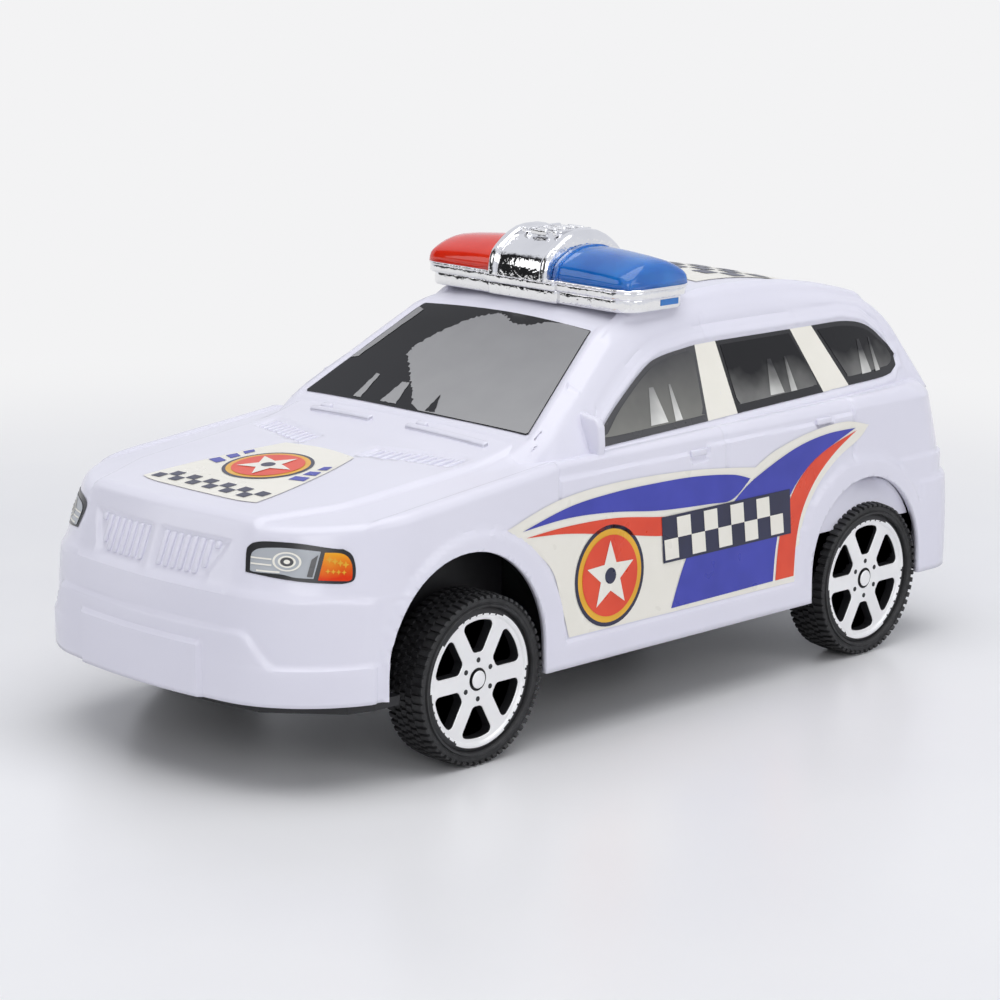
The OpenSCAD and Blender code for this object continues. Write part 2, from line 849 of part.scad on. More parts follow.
// Light bar: a plated tray with a middle housing, clipped through the roof
function bar_profile(z0, z1, trim, bevel) = [
    [bar_x - bar_l / 2 + trim, z0], [bar_x + bar_l / 2 - trim, z0],
    [bar_x + bar_l / 2 - trim - bevel * 0.35, z1 - bevel], [bar_x + bar_l / 2 - trim - bevel * 1.4, z1],
    [bar_x - bar_l / 2 + trim + bevel * 1.4, z1], [bar_x - bar_l / 2 + trim + bevel * 0.35, z1 - bevel]];

module lens_tab(grow) {
    mirrored()
        box([bar_x - tab_size.x / 2 - grow, lens_y[1] - 4 - tab_size.y - grow, tray_z + 1],
            [bar_x + tab_size.x / 2 + grow, lens_y[1] - 4 + grow, tray_top + (grow > 0 ? past : 1)]);
}

module light_bar_base() {
    bevel = 4;
    corner = [bar_l / 2, bar_w / 2];
    color("gainsboro")
        difference() {
            union() {
                translate([bar_x, 0, tray_z])
                    linear_extrude(tray_h)
                        polygon(both_y([[corner.x, corner.y - bevel], [corner.x - bevel, corner.y],
                            [bevel - corner.x, corner.y], [-corner.x, corner.y - bevel]]));
                across(-hump_w / 2, hump_w / 2)
                    polygon(bar_profile(tray_top - past, tray_top + hump_h, 0.1, 4.2));
                mirrored() {
                    box([bar_x - foot_size.x / 2, foot_y - foot_size.y / 2, bar_seat_z],
                        [bar_x + foot_size.x / 2, foot_y + foot_size.y / 2, tray_z + past]);
                    box([bar_x - clip_size.x / 2, foot_y - clip_size.y / 2, roof_z - 8],
                        [bar_x + clip_size.x / 2, foot_y + clip_size.y / 2, tray_z + past]);
                    box([bar_x - clip_size.x / 2, foot_y - clip_size.y / 2, roof_z - 8],
                        [bar_x + clip_size.x / 2, foot_y + clip_size.y / 2 + 0.9, roof_z - 6.5]);
                }
            }
            lens_tab(part_gap / 2);
        }
}

module lens() {
    difference() {
        across(lens_y[0], lens_y[1])
            polygon(bar_profile(tray_top, tray_top + lens_h, 1, 3));
        across(lens_y[0] + lens_wall, lens_y[1] - lens_wall)
            polygon(inset(bar_profile(tray_top - 2 * lens_wall, tray_top + lens_h, 1, 3), lens_wall));
    }
    intersection() {
        lens_tab(0);
        box([bar_x - bar_l, 0, 0], [bar_x + bar_l, bar_w, tray_top]);
    }
    box([bar_x - tab_size.x / 2, lens_y[1] - 4 - tab_size.y, tray_top],
        [bar_x + tab_size.x / 2, lens_y[1] - lens_wall / 2, tray_top + 1.5]);
}

module lens_left() {
    color("blue")
        lens();
}

module lens_right() {
    color("red")
        mirror([0, 1, 0])
            lens();
}

// Stickers: plates laid face to face on the flat faces of the shell
module windscreen_sticker() {
    slope_l = (screen_top_z - screen_foot_z) / sin(screen_rake);
    bottom = [sticker_edge * 2, 0.85 * window_y];
    top = [slope_l - sticker_edge * 1.5, 0.85 * roof_y];
    color("#101014")
        translate([screen_x, 0, screen_foot_z])
            rotate([0, screen_rake, 0])
                linear_extrude(sticker_t)
                    polygon(both_y([[-bottom.x, bottom.y], [-top.x, top.y]]));
}

// Side windows: upright axis runs up the leaning window face
module window_sticker() {
    rise = 1 / cos(window_lean);
    low = 0.6 * sticker_edge * rise;
    high = (screen_top_z - belt_z) * 0.69 * rise;
    cabin_l = screen_x - tail_foot_x;
    front = screen_x - 0.157 * cabin_l;
    rear = tail_foot_x + 0.0755 * cabin_l;
    run = front - rear;
    translate([0, window_y, belt_z])
        rotate([90 + window_lean, 0, 0])
            mirror([0, 0, 1])
                linear_extrude(sticker_t)
                    polygon([[front, low], [front - 0.014 * run, high * 0.26],
                        [front - 0.178 * run, high * 0.86],
                        [front - 0.244 * run, high * 0.97], [front - 0.356 * run, high],
                        [rear + 0.131 * run, high], [rear + 0.056 * run, high * 0.9],
                        [rear + 0.009 * run, high * 0.65], [rear, high * 0.4],
                        [rear + 0.028 * run, high * 0.21], [rear + 0.112 * run, high * 0.16]]);
}

module window_sticker_left() {
    color("#8a8a8e")
        window_sticker();
}

module window_sticker_right() {
    color("#8a8a8e")
        mirror([0, 1, 0])
            window_sticker();
}

// Door sticker: bounded by both arch lips, the sill and a sweeping upper edge
function side_sticker_outline() =
    let (rf = arch_r_front + arch_lip + sticker_edge,
        rr = arch_r_rear + arch_lip + sticker_edge,
        low = sill_z + sill_h + 0.3 * sticker_edge,
        high = shoulder_z - 0.75 * sticker_edge,
        dip = 1.5 * sticker_edge,
        tail = [82, 40, 25],
        af = 180 - asin((low - arch_f.y) / rf),
        ar = asin((low - arch_r.y) / rr))
    concat(arc(arch_f, rf, af, 112, 5),
        [[arch_f.x - 0.9 * rf, high - 0.7 * dip], [split_x + 0.7 * rf, high],
            [split_x - 0.15 * rf, high - dip], [split_x - 0.4 * rf, high - 0.2 * dip],
            [arch_r.x + 0.45 * rr, high + 0.3 * dip]],
        arc(arch_r, rr + 2 * sticker_edge, tail[0], tail[1], 3), arc(arch_r, rr, tail[2], ar, 2));

module side_sticker() {
    lean = atan2(door_in, shoulder_z - sill_z);
    stretch = 1 / cos(lean);
    translate([0, door_y, sill_z])
        rotate([90 + lean, 0, 0])
            mirror([0, 0, 1])
                linear_extrude(sticker_t)
                    polygon([for (p = side_sticker_outline()) [p.x, (p.y - sill_z) * stretch]]);
}

module side_sticker_left() {
    color("#f4f0e4")
        side_sticker();
}

module side_sticker_right() {
    color("#f4f0e4")
        mirror([0, 1, 0])
            side_sticker();
}

module bonnet_sticker() {
    run = bonnet_front.x - bonnet_rear.x;
    color("#f4f0e4")
        translate([bonnet_front.x, 0, bonnet_front.y])
            rotate([0, bonnet_slope, 0])
                linear_extrude(sticker_t)
                    polygon(both_y([[-0.1 * run, 0.4 * panel_y], [-0.15 * run, 0.66 * panel_y],
                        [-0.22 * run, 0.68 * panel_y], [-0.63 * run, 0.5 * panel_y],
                        [-0.73 * run, 0.4 * panel_y]]));
}

module roof_sticker() {
    free = bar_x - bar_l / 2 - tail_top_x;
    x0 = tail_top_x + 0.186 * free;
    x1 = x0 + 0.557 * free;
    curve = roof_curve();
    color("#f4f0e4")
        intersection() {
            across(-0.63 * roof_y, 0.63 * roof_y)
                polygon(concat(curve, [for (k = [roof_steps:-1:0]) curve[k] + [0, sticker_t]]));
            box([x0, -half_w, belt_z], [x1, half_w, roof_z + past]);
        }
}

module rear_window_sticker() {
    foot = [tail_foot_x, cowl_z];
    head = [tail_top_x, roof_at(tail_top_x)];
    run = norm(head - foot);
    color("#101014")
        translate([foot.x, 0, foot.y])
            rotate([0, -atan2(head.y - foot.y, head.x - foot.x), 0])
                linear_extrude(sticker_t)
                    polygon(both_y([[run - sticker_edge, 0.8 * roof_y], [sticker_edge, 0.65 * window_y]]));
}

// A lamp sticker on an upright corner face between two plan points
module corner_plate(a, b, outline) {
    translate([a.x, a.y, 0])
        rotate([0, 0, atan2(b.y - a.y, b.x - a.x)])
            across(-sticker_t, 0)
                polygon(outline);
}

module headlamp_sticker() {
    run = norm(lamp_out - lamp_in);
    rise = bonnet_z - bumper_z;
    corner_plate(lamp_in, lamp_out,
        [[0.16 * run, bumper_z + 0.25 * rise], [0.89 * run, bumper_z + 0.32 * rise],
            [0.97 * run, bumper_z + 0.46 * rise], [0.84 * run, bumper_z + 0.66 * rise],
            [0.24 * run, bumper_z + 0.77 * rise], [0.16 * run, bumper_z + 0.64 * rise]]);
}

module headlamp_sticker_left() {
    color("#c8ccd2")
        headlamp_sticker();
}

module headlamp_sticker_right() {
    color("#c8ccd2")
        mirror([0, 1, 0])
            headlamp_sticker();
}

// Tail lamps lie on the leaning tailgate, beside its rear window
module tail_lamp_sticker() {
    foot = tailgate[0];
    head = tailgate[1];
    run = norm(head - foot);
    translate([foot.x, 0, foot.y])
        rotate([0, -atan2(head.y - foot.y, head.x - foot.x), 0])
            linear_extrude(sticker_t)
                polygon([[sticker_edge, 0.9 * tail_in.y], [run - sticker_edge, 0.9 * tail_in.y],
                    [run - sticker_edge, 1.11 * tail_in.y], [sticker_edge, 1.17 * tail_in.y]]);
}

module tail_lamp_sticker_left() {
    color("firebrick")
        tail_lamp_sticker();
}

module tail_lamp_sticker_right() {
    color("firebrick")
        mirror([0, 1, 0])
            tail_lamp_sticker();
}

body_shell();
chassis();
chassis_screws();
front_axle();
rear_axle();
rim_front_left();
rim_front_right();
rim_rear_left();
rim_rear_right();
tyre_front_left();
tyre_front_right();
tyre_rear_left();
tyre_rear_right();
drive_case_left();
drive_case_right();
drive_screws();
axle_gear();
idler_gear();
idler_shaft();
flywheel();
flywheel_pinion();
flywheel_shaft();
light_bar_base();
lens_left();
lens_right();
windscreen_sticker();
window_sticker_left();
window_sticker_right();
side_sticker_left();
side_sticker_right();
bonnet_sticker();
roof_sticker();
rear_window_sticker();
headlamp_sticker_left();
headlamp_sticker_right();
tail_lamp_sticker_left();
tail_lamp_sticker_right();
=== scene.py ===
# %% [markdown]
# # A toy patrol car
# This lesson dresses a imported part: a moulded white car with printed stickers, black tyres on
# silver-faced wheels and a plated light bar. The CAD solids are the fixed frame. Each step
# replaces a plain solid by a finer piece in the same place, or gives the solid a better finish.

# %% Load the frame
import math

import bmesh
import bpy
import numpy as np
from mathutils import Matrix, Vector


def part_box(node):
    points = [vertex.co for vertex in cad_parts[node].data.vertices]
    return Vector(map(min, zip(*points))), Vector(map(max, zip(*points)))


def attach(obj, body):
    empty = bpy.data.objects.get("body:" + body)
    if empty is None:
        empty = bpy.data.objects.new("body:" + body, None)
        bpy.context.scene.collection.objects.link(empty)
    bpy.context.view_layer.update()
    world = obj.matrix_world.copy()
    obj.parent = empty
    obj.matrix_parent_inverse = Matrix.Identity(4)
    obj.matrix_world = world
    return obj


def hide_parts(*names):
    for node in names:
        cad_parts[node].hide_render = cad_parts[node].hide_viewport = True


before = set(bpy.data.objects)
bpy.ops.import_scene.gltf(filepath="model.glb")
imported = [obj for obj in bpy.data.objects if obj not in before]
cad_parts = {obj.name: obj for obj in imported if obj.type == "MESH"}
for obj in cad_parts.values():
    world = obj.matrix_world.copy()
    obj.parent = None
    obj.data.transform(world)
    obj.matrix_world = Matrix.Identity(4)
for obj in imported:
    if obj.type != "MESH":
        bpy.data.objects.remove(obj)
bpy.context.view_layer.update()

MM = 0.001

# %% [markdown]
# ## The sizes that drive everything
# The car is modelled in millimetres and scaled to metres at the end, because a toy's steps and
# ribs are easiest to think about in millimetres. Stations come from the frame's own boxes, so
# a piece lands where the solid is. A few lengths that no box gives are named here.


# %% Stations from the frame
def span(node):
    low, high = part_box(node)
    return np.array(low) / MM, np.array(high) / MM


shell_low, shell_high = span("body_shell")
tyre_low, tyre_high = span("tyre_front_left")
rear_low, rear_high = span("tyre_rear_left")
FRONT, REAR, SILL = shell_high[0], shell_low[0], shell_low[2]
AXLE_F, AXLE_R = (tyre_low[0] + tyre_high[0]) / 2, (rear_low[0] + rear_high[0]) / 2
AXLE_Z, TYRE_R = (tyre_low[2] + tyre_high[2]) / 2, (tyre_high[2] - tyre_low[2]) / 2
HALF = tyre_high[1] + 0.5
DOOR, DOOR_LEAN = HALF - 0.9, 0.037
ARCH_F_R, ARCH_R_R, TYRE_GAP = 22.6, 20.3, 0.8
ARCH_F = (AXLE_F + ARCH_F_R - TYRE_R - TYRE_GAP, AXLE_Z + 4.5)
ARCH_R = (AXLE_R + ARCH_R_R - TYRE_R - TYRE_GAP, AXLE_Z + 4.0)
LIPS = ((ARCH_F[0] - 2.7, ARCH_F[1], ARCH_F_R + 3.5), (ARCH_R[0] + 0.8, ARCH_R[1] + 0.5, ARCH_R_R + 4.1))
NOSE_LIFT, TAIL_LIFT = 2.6, 0.6
BUMPER_TOP, TAIL_TIER = 40.8, 44.4
DOOR_LINES = (AXLE_F - 24.3, AXLE_F - 78.2, AXLE_R + 5.5)
SCREEN_FOOT = (AXLE_F - 20.0, 61.7)
SCREEN_SLOPE = math.radians(31.8)
TAIL_FOOT = (AXLE_R - 32.3, 61.5)
TAIL_SLOPE = math.radians(61.5)
ROOF_PEAK = (AXLE_F - 90.5, 86.8)
WINDOW_LEAN = math.tan(math.radians(25.0))
print("front %.1f rear %.1f axles %.1f %.1f door %.1f" % (FRONT, REAR, AXLE_F, AXLE_R, DOOR))

# %% [markdown]
# ## Soft steps
# A moulded toy has no knife edges: each panel step, groove and recess has a small draft and
# radius. A few little functions make those: a soft step up or down, a soft band, a groove, and a
# rounded corner where two faces meet. The car's skin is then written as faces and their corners.


# %% Soft steps, bands and rounded corners
def soft(v, at, width):
    t = np.clip((v - at) / width + 0.5, 0.0, 1.0)
    return t * t * (3.0 - 2.0 * t)


def fade(v, at, width):
    return 1.0 - soft(v, at, width)


def band(v, low, high, width):
    return soft(v, low, width) - soft(v, high, width)


def groove(v, at, width):
    return np.exp(-(((v - at) / width) ** 2))


def corner(a, b, radius):
    inside = np.minimum(np.maximum(a, b), -radius)
    return inside + np.hypot(np.maximum(a + radius, 0.0), np.maximum(b + radius, 0.0))


print("a 1 mm step at 0:", np.round(soft(np.array([-0.5, 0.0, 0.5]), 0.0, 1.0), 2))

# %% [markdown]
# ## The lower body as four faces
# The lower body is one moulding: doors that lean in, sills and wheel arch lips that stand proud,
# bumpers with two tiers, and a crowned bonnet with a raised middle panel. Each face is a height
# over a flat plane. The four faces meet in rounded corners, wide in plan at the nose.


# %% Faces of the lower body
def lip_distance(x, z):
    front, rear = (np.hypot(x - middle, np.maximum(z - low, 0.0)) - radius for middle, low, radius in LIPS)
    return np.minimum(front, rear)


def belt_line(x):
    front_door = 55.9 - 2.4 * band(x, -14.4, -8.4, 0.8) + 1.0 * fade(x, -14.4, 0.8)
    return front_door - 2.2 * band(x, -58.2, -52.2, 0.8) + 0.6 * fade(x, -58.2, 0.8)


def door_side(x, z):
    y = DOOR - DOOR_LEAN * (z - SILL)
    lips = fade(lip_distance(x, z), 0.0, 1.0)
    sill = fade(z, SILL + 5.5, 1.0) * band(x, -60.0, 50.0, 4.0)
    nose, tail = soft(x, 86.5, 1.6), fade(x, -91.0, 1.6)
    bumper_top = BUMPER_TOP - 2.2 + 0.11 * np.clip(x - 84.0, 0.0, 10.0)
    bumper = fade(z, bumper_top, 1.1) * (0.5 * nose + 0.9 * tail)
    bumper = np.maximum(bumper, 0.45 * fade(z, TAIL_TIER, 0.9) * fade(x, -84.0, 1.6))
    y = y + np.maximum(0.9 * np.maximum(lips, sill), bumper) + 0.5 * fade(z, 26.4, 1.0) * nose
    cabin_part, door_part = fade(x, 32.6, 1.6), band(x, DOOR_LINES[2], DOOR_LINES[0], 1.0)
    y = y - door_part * 0.8 * soft(z, belt_line(x), 0.9) - cabin_part * 0.5 * np.maximum(z - 58.4, 0.0)
    for line in DOOR_LINES:
        y = y - 0.45 * groove(x, line, 0.42) * band(z, 22.5, 64.0, 1.0) * soft(lip_distance(x, z), 0.0, 1.0)
    return y


def nose_face(y, z):
    a = np.abs(y)
    bumper = FRONT - 1.9 - 0.8 * ((z - 30.0) / 14.0) ** 2
    bumper = bumper + 1.0 * fade(z, 33.3 - 7.0 * soft(a, 30.5, 7.0), 1.0)
    bumper = bumper + 0.9 * fade(a, 18.2, 0.9) * fade(z, 29.8, 0.9)
    upper = FRONT - 3.1 - 0.4 * np.maximum(z - 40.5, 0.0)
    face = upper + (bumper - upper) * fade(z, BUMPER_TOP - 1.2 * soft(a, 36.0, 16.0), 1.1)
    grille = band(a, 1.5, 16.3 + 0.52 * (z - 42.0), 1.0) * band(z, 41.5, 49.6, 1.0)
    return face - 0.6 * grille - 3.2 * (a / 30.0) ** 2


def tail_face(y, z):
    a = np.abs(y)
    bumper = REAR + 0.5 + 0.8 * ((z - 28.0) / 14.0) ** 2
    upper = REAR + 2.8 + 0.1 * np.maximum(z - 39.0, 0.0) + 0.2 * np.maximum(z - 46.0, 0.0)
    face = upper + (bumper - upper) * fade(z, BUMPER_TOP - 1.4, 1.1)
    face = np.minimum(face, REAR + 2.4 + (face - REAR) * soft(z, TAIL_TIER, 0.9))
    return face + 1.3 * (a / 32.0) ** 2


def deck(x, y):
    a = np.abs(y)
    cowl = 0.08 * (np.hypot(45.5 - x, 3.0) + 45.5 - x) * fade(a, 35.5, 3.0)
    bonnet = 54.0 + 0.1 * (99.5 - x) + cowl
    bonnet = bonnet - 1.7 * (a / 41.5) ** 2.6 + 0.5 * soft(a, 41.0, 0.9) * fade(x, 89.0, 3.0)
    panel_edge = 25.0 + 0.4 * np.clip(98.0 - x, 0.0, 15.0) + 0.05 * np.clip(83.0 - x, 0.0, 50.0)
    bonnet = bonnet + 0.9 * fade(a, panel_edge, 1.5)
    slant = 0.28 * (a - 19.0)
    bonnet = bonnet - 0.8 * band(a, 8.6, 29.4, 1.0) * band(x + slant, 48.4, 54.6, 1.0)
    ledge = 59.1 + 0.018 * (30.0 - x)
    return ledge + (bonnet - ledge) * soft(x, 33.2, 2.6)


def lower_body(p):
    x, y, z = p[:, 0], p[:, 1], p[:, 2]
    sides = np.abs(y) - door_side(x, z)
    walls = corner(corner(sides, x - nose_face(y, z), 22.0), tail_face(y, z) - x, 11.0)
    roll = 1.2 + 0.5 * soft(x, 36.0, 6.0) + 2.4 * fade(x, -90.0, 8.0)
    return corner(walls, z - deck(x, y), roll)


print("bonnet lip at %.1f, door at mid height %.1f" % (deck(np.array([99.5]), np.array([0.0]))[0],
                                                     door_side(np.array([0.0]), np.array([40.0]))[0]))

# %% [markdown]
# ## The cabin as five faces
# The windscreen, the arched roof and the sloping tail meet in small bends; the leaning sides meet
# them along the roof edge. A shallow recess takes the side window prints, and two low rails run
# along the roof. The window outline was measured on the photograph and is given as two edges.

# %% Faces of the cabin
WINDOW_X = np.array([-91.5, -88.9, -83.7, -75.5, -63.5, -29.3, -22.2, -9.9, -3.4, 7.9, 14.4, 15.8])
WINDOW_TOP = np.array([66.5, 71.1, 74.8, 76.4, 76.6, 76.7, 76.6, 75.4, 73.4, 67.5, 63.5, 60.6])
WINDOW_LOW = np.array([66.0, 63.7, 63.0, 62.9, 62.5, 61.4, 61.0, 60.6, 60.4, 60.1, 59.9, 59.9])


def window_band(x, z, margin):
    top = np.interp(x, WINDOW_X, WINDOW_TOP) + margin
    low = np.interp(x, WINDOW_X, WINDOW_LOW) - margin
    return band(x, WINDOW_X[0] - margin, WINDOW_X[-1] + margin, 1.0) * band(z, low, top, 1.0)


def cabin_side(x, z):
    y = 40.2 - WINDOW_LEAN * (z - 60.0) - 0.0024 * np.maximum(-62.0 - x, 0.0) ** 1.9
    y = y - 0.03 * np.maximum(x - 28.0, 0.0) ** 2 - 0.35 * (window_band(x, z, 4.2) - window_band(x, z, 3.3))
    y = y + 0.3 * window_band(x, z, 1.9) - 0.6 * window_band(x, z, 0.7)
    for line, lean in ((-25.6, -0.1), (-62.0, 0.4)):
        y = y - 0.3 * groove(x, line + lean * (z - 69.0), 0.5) * band(z, 59.0, 83.0, 1.0)
    return y


def windscreen(x, y, z):
    a = np.abs(y)
    out = a - 0.298 * (x - 4.0)
    film = band(x, 2.4, 34.0, 0.7) * fade(out, 26.1, 0.7)
    bow = 0.9 * (a / 34.0) ** 2 + 0.35 * film + 0.7 * groove(out, 28.4, 0.5) * band(x, 1.0, 36.0, 1.0)
    up, along = z + bow - SCREEN_FOOT[1], x - SCREEN_FOOT[0]
    return up * math.cos(SCREEN_SLOPE) + along * math.sin(SCREEN_SLOPE)


def roof_crown(x, a):
    return ROOF_PEAK[1] - 0.00247 * (x - ROOF_PEAK[0]) ** 2 - 1.3 * (a / 27.0) ** 2 + 2.0 * soft(-x, 30.0,
                                                                                                 60.0)


def roof(x, y, z):
    a = np.abs(y)
    rail = 1.3 * band(a, 25.2, 28.0, 0.9) * band(x, -88.0, -3.0, 3.0)
    return z - (roof_crown(x, a) + rail)


def tailgate(x, y, z):
    bow = 1.0 * (np.abs(y) / 30.0) ** 2
    return (z - TAIL_FOOT[1]) * math.cos(TAIL_SLOPE) - (x - TAIL_FOOT[0] - bow) * math.sin(TAIL_SLOPE)


def cabin(p):
    x, y, z = p[:, 0], p[:, 1], p[:, 2]
    over = corner(corner(windscreen(x, y, z), roof(x, y, z), 1.5), tailgate(x, y, z), 5.0)
    return corner(over, np.abs(y) - cabin_side(x, z), 3.2)


print("roof peak", ROOF_PEAK, "window band %.1f mm long" % (WINDOW_X[-1] - WINDOW_X[0]))

# %% [markdown]
# ## From a cube to a skin
# A cube whose edges are cut at chosen stations gives clean rows of quads. Its points are first
# moved near the skin, then slid down the slope of the rounded faces until they lie on it. This
# is a shrinkwrap written in numbers, and it keeps close rows where a step or a groove needs them.


# %% Cut a cube at stations and settle it on a skin
def stations(*runs):
    marks = [runs[0]]
    for end, cuts in zip(runs[1::2], runs[2::2]):
        marks.extend(np.linspace(marks[-1], end, cuts + 1)[1:])
    return np.array(marks)


def places(bm):
    return np.array([v.co for v in bm.verts], dtype=float)


def put(bm, p):
    for v, q in zip(bm.verts, p):
        v.co = q


def both_ways(half):
    return np.concatenate([-half[:0:-1], half]) / half[-1]


def cut_cube(*counts):
    bm = bmesh.new()
    bmesh.ops.create_cube(bm, size=2.0)
    for axis, count in enumerate(counts):
        along = [e for e in bm.edges if abs(e.verts[0].co[axis] - e.verts[1].co[axis]) > 1.0]
        bmesh.ops.subdivide_edges(bm, edges=along, cuts=count - 2, use_grid_fill=True)
    steps = (places(bm) + 1.0) / 2.0 * (np.array(counts) - 1)
    return bm, *np.rint(steps).astype(int).T


def slope(skin, p, h=0.04):
    g = np.empty_like(p)
    for axis in range(3):
        q = p.copy()
        q[:, axis] += h
        g[:, axis] = skin(q)
        q[:, axis] -= 2 * h
        g[:, axis] = (g[:, axis] - skin(q)) / (2 * h)
    return g


print("stations of a 10 mm run in 4 cuts:", stations(0.0, 10.0, 4))

# %% [markdown]
# ## The lower body's skin
# The cube's rows become heights on the walls, its columns stations along the car. Where the walls
# end below the deck the last rows close up to the deck's edge. The walls are cut along the wheel
# arches and what lies inside them is taken out; the deck under the cabin is left open.

# %% Plan of the lower body
NOSE_BEND, TAIL_BEND = (84.0, 23.6, 22.0), (-95.0, 34.0, 11.0)
NOSE_END, TAIL_END = 92.0, -100.0
half = stations(0.0, 1.2, 1, 2.0, 1, 8.0, 5, 9.4, 3, 17.4, 7, 19.0, 4, 23.6, 5, 29.0, 7, 30.2, 3, 33.5, 5,
                38.6, 6, 42.0, 9)
wide = both_ways(half)


def bend(share, middle, inset, forward):
    turn = math.pi / 2 - share * math.pi / 4
    reach = middle[2] - inset
    return np.column_stack([middle[0] + forward * reach * np.cos(turn),
                            middle[1] + reach * np.sin(turn)]), turn


def end_line(across, middle, inset, forward):
    v = np.abs(across)
    straight = middle[1] / half[-1]
    share = 2.0 - np.clip((v - straight) / (1 - straight), 0, 1)
    p, turn = bend(share, middle, inset, forward)
    p[:, 1] = np.where(v < straight, v * half[-1], p[:, 1])
    return p, turn


def outline_start(x, across):
    flat = np.column_stack([x, np.full_like(x, NOSE_BEND[1] + NOSE_BEND[2])])
    turned = np.full(len(x), math.pi / 2)
    for middle, tip, forward in ((NOSE_BEND, NOSE_END, 1.0), (TAIL_BEND, TAIL_END, -1.0)):
        t = np.clip((x - middle[0]) / (tip - middle[0]), 0, 1)
        rim, turn = bend(t, middle, 0.0, forward)
        last, last_turn = end_line(across, middle, 0.0, forward)
        at_end = np.abs(across) < 1 - 1e-6
        part = t > 0
        flat[part] = np.where(at_end[:, None], last, rim)[part]
        ahead = np.where(at_end, last_turn, turn)
        turned[part] = (ahead if forward > 0 else math.pi - ahead)[part]
    return flat, np.column_stack([np.cos(turned), np.sin(turned), np.zeros(len(x))])


def settle_along(skin, p, way, rounds=10):
    for _ in range(rounds):
        grip = np.maximum((slope(skin, p) * way).sum(1), 0.3)
        p = p - np.clip(skin(p) / grip, -4.0, 4.0)[:, None] * way
    return p


def rim_line(x, across):
    flat, way = outline_start(x, across)
    p = np.column_stack([flat, np.full(len(x), 50.0)])
    for _ in range(8):
        p[:, 2] = deck(p[:, 0], p[:, 1]) - RIM_DROP
        p = settle_along(lower_body, p, way, 6)
    return p


RIM_DROP = 0.9
print("plan stations across", len(wide))

# %% Stations of the lower body
rows = stations(SILL, 20.0, 3, 23.0, 5, 25.6, 2, 27.4, 4, 28.8, 2, 30.8, 4, 32.2, 2, 34.4, 5, 37.6, 4, 40.0,
                6, 43.2, 3, 45.6, 6, 54.0, 7, 60.0, 15)
cols = stations(TAIL_END, -95.0, 6, -90.0, 7, -83.0, 10, -68.2, 9, -63.8, 8, -59.4, 4, -51.0, 16, -23.0, 16,
                -18.4, 9,
                -15.4, 3, -7.4, 15, 28.0, 20, 31.0, 4, 35.4, 11, 47.5, 11, 55.5, 12, 84.0, 20, NOSE_END, 18)
WALL_TOP, LIFT_END = 42.0, 25.0
side_rim = rim_line(cols, np.ones(len(cols)))
end_rims = {tip: rim_line(np.full(len(wide), tip), np.minimum(np.abs(wide), 1.0)) for tip in (NOSE_END,
                                                                                              TAIL_END)}
for tip, corner_at in ((NOSE_END, -1), (TAIL_END, 0)):
    end_rims[tip][[0, -1]] = side_rim[corner_at]
print("rim runs from z %.1f to %.1f" % (side_rim[:, 2].min(), side_rim[:, 2].max()))

# %% Shape the lower body
tub, col, lane, row = cut_cube(len(cols), len(wide), len(rows))
x, across, z = cols[col], wide[lane], rows[row]
v = np.abs(across)
at_nose, at_tail = col == len(cols) - 1, col == 0
at_side = v > 1 - 1e-6
rim = np.where(at_side[:, None], side_rim[col],
               np.where(at_nose[:, None], end_rims[NOSE_END][lane], end_rims[TAIL_END][lane]))
flat = np.column_stack([x, v * side_rim[col, 1]])
for middle, tip, last in ((NOSE_BEND[0], NOSE_END, -1), (TAIL_BEND[0], TAIL_END, 0)):
    t = np.clip((x - middle) / (tip - middle), 0, 1)[:, None]
    from_side, to_side = side_rim[np.argmin(np.abs(cols - middle)), :2], side_rim[last, :2]
    first = np.column_stack([np.full_like(x, middle), v * from_side[1]])
    edge = side_rim[col, :2] - (1 - t) * from_side - t * to_side
    patch = (1 - t) * first + t * end_rims[tip][lane, :2] + edge * v[:, None] ** 4
    flat = np.where(t > 0, patch, flat)
at_edge, at_deck = at_side | at_nose | at_tail, row == len(rows) - 1
on_rim, on_top, on_wall = at_deck & at_edge, at_deck & ~at_edge, at_edge & ~at_deck
outer, way = outline_start(x, v)
wall_z = np.where(z > WALL_TOP, WALL_TOP + (z - WALL_TOP) / (rows[-1] - WALL_TOP) * (rim[:, 2] - WALL_TOP),
                  z)
lift = np.where(x > ARCH_F[0], NOSE_LIFT, np.where(x < ARCH_R[0], TAIL_LIFT, 0.0))
wall_z = wall_z + lift * np.clip((LIFT_END - wall_z) / (LIFT_END - SILL), 0.0, 1.0)
skin_points = np.column_stack([flat, np.full(len(x), 50.0)])
skin_points[on_wall] = np.column_stack([outer, wall_z])[on_wall]
skin_points[on_rim] = rim[on_rim]
skin_points[on_top, 2] = deck(flat[on_top, 0], flat[on_top, 1])
way[on_top] = (0.0, 0.0, 1.0)
moved = on_wall | on_top
skin_points[moved] = settle_along(lower_body, skin_points[moved], way[moved])
shown = moved | on_rim
print("lower body points", shown.sum(),
      "largest miss %.3f mm" % np.abs(lower_body(skin_points[shown])).max())
skin_points[:, 1] *= np.where(across < 0, -1.0, 1.0)
put(tub, skin_points)


# %% Open the arches, the floor and the deck under the cabin
WALL_Y, SNAP = 36.0, 0.02
OPEN_X, OPEN_Y, OPEN_Z = (-98.0, 30.0), 37.0, 55.0


def arch_line(centre, radius, low, pieces=30):
    turns = np.linspace(0.0, math.pi, pieces + 1)
    crown = [(centre[0] + radius * math.cos(t), centre[1] + radius * math.sin(t)) for t in turns]
    return [(crown[0][0], low)] + crown + [(crown[-1][0], low)]


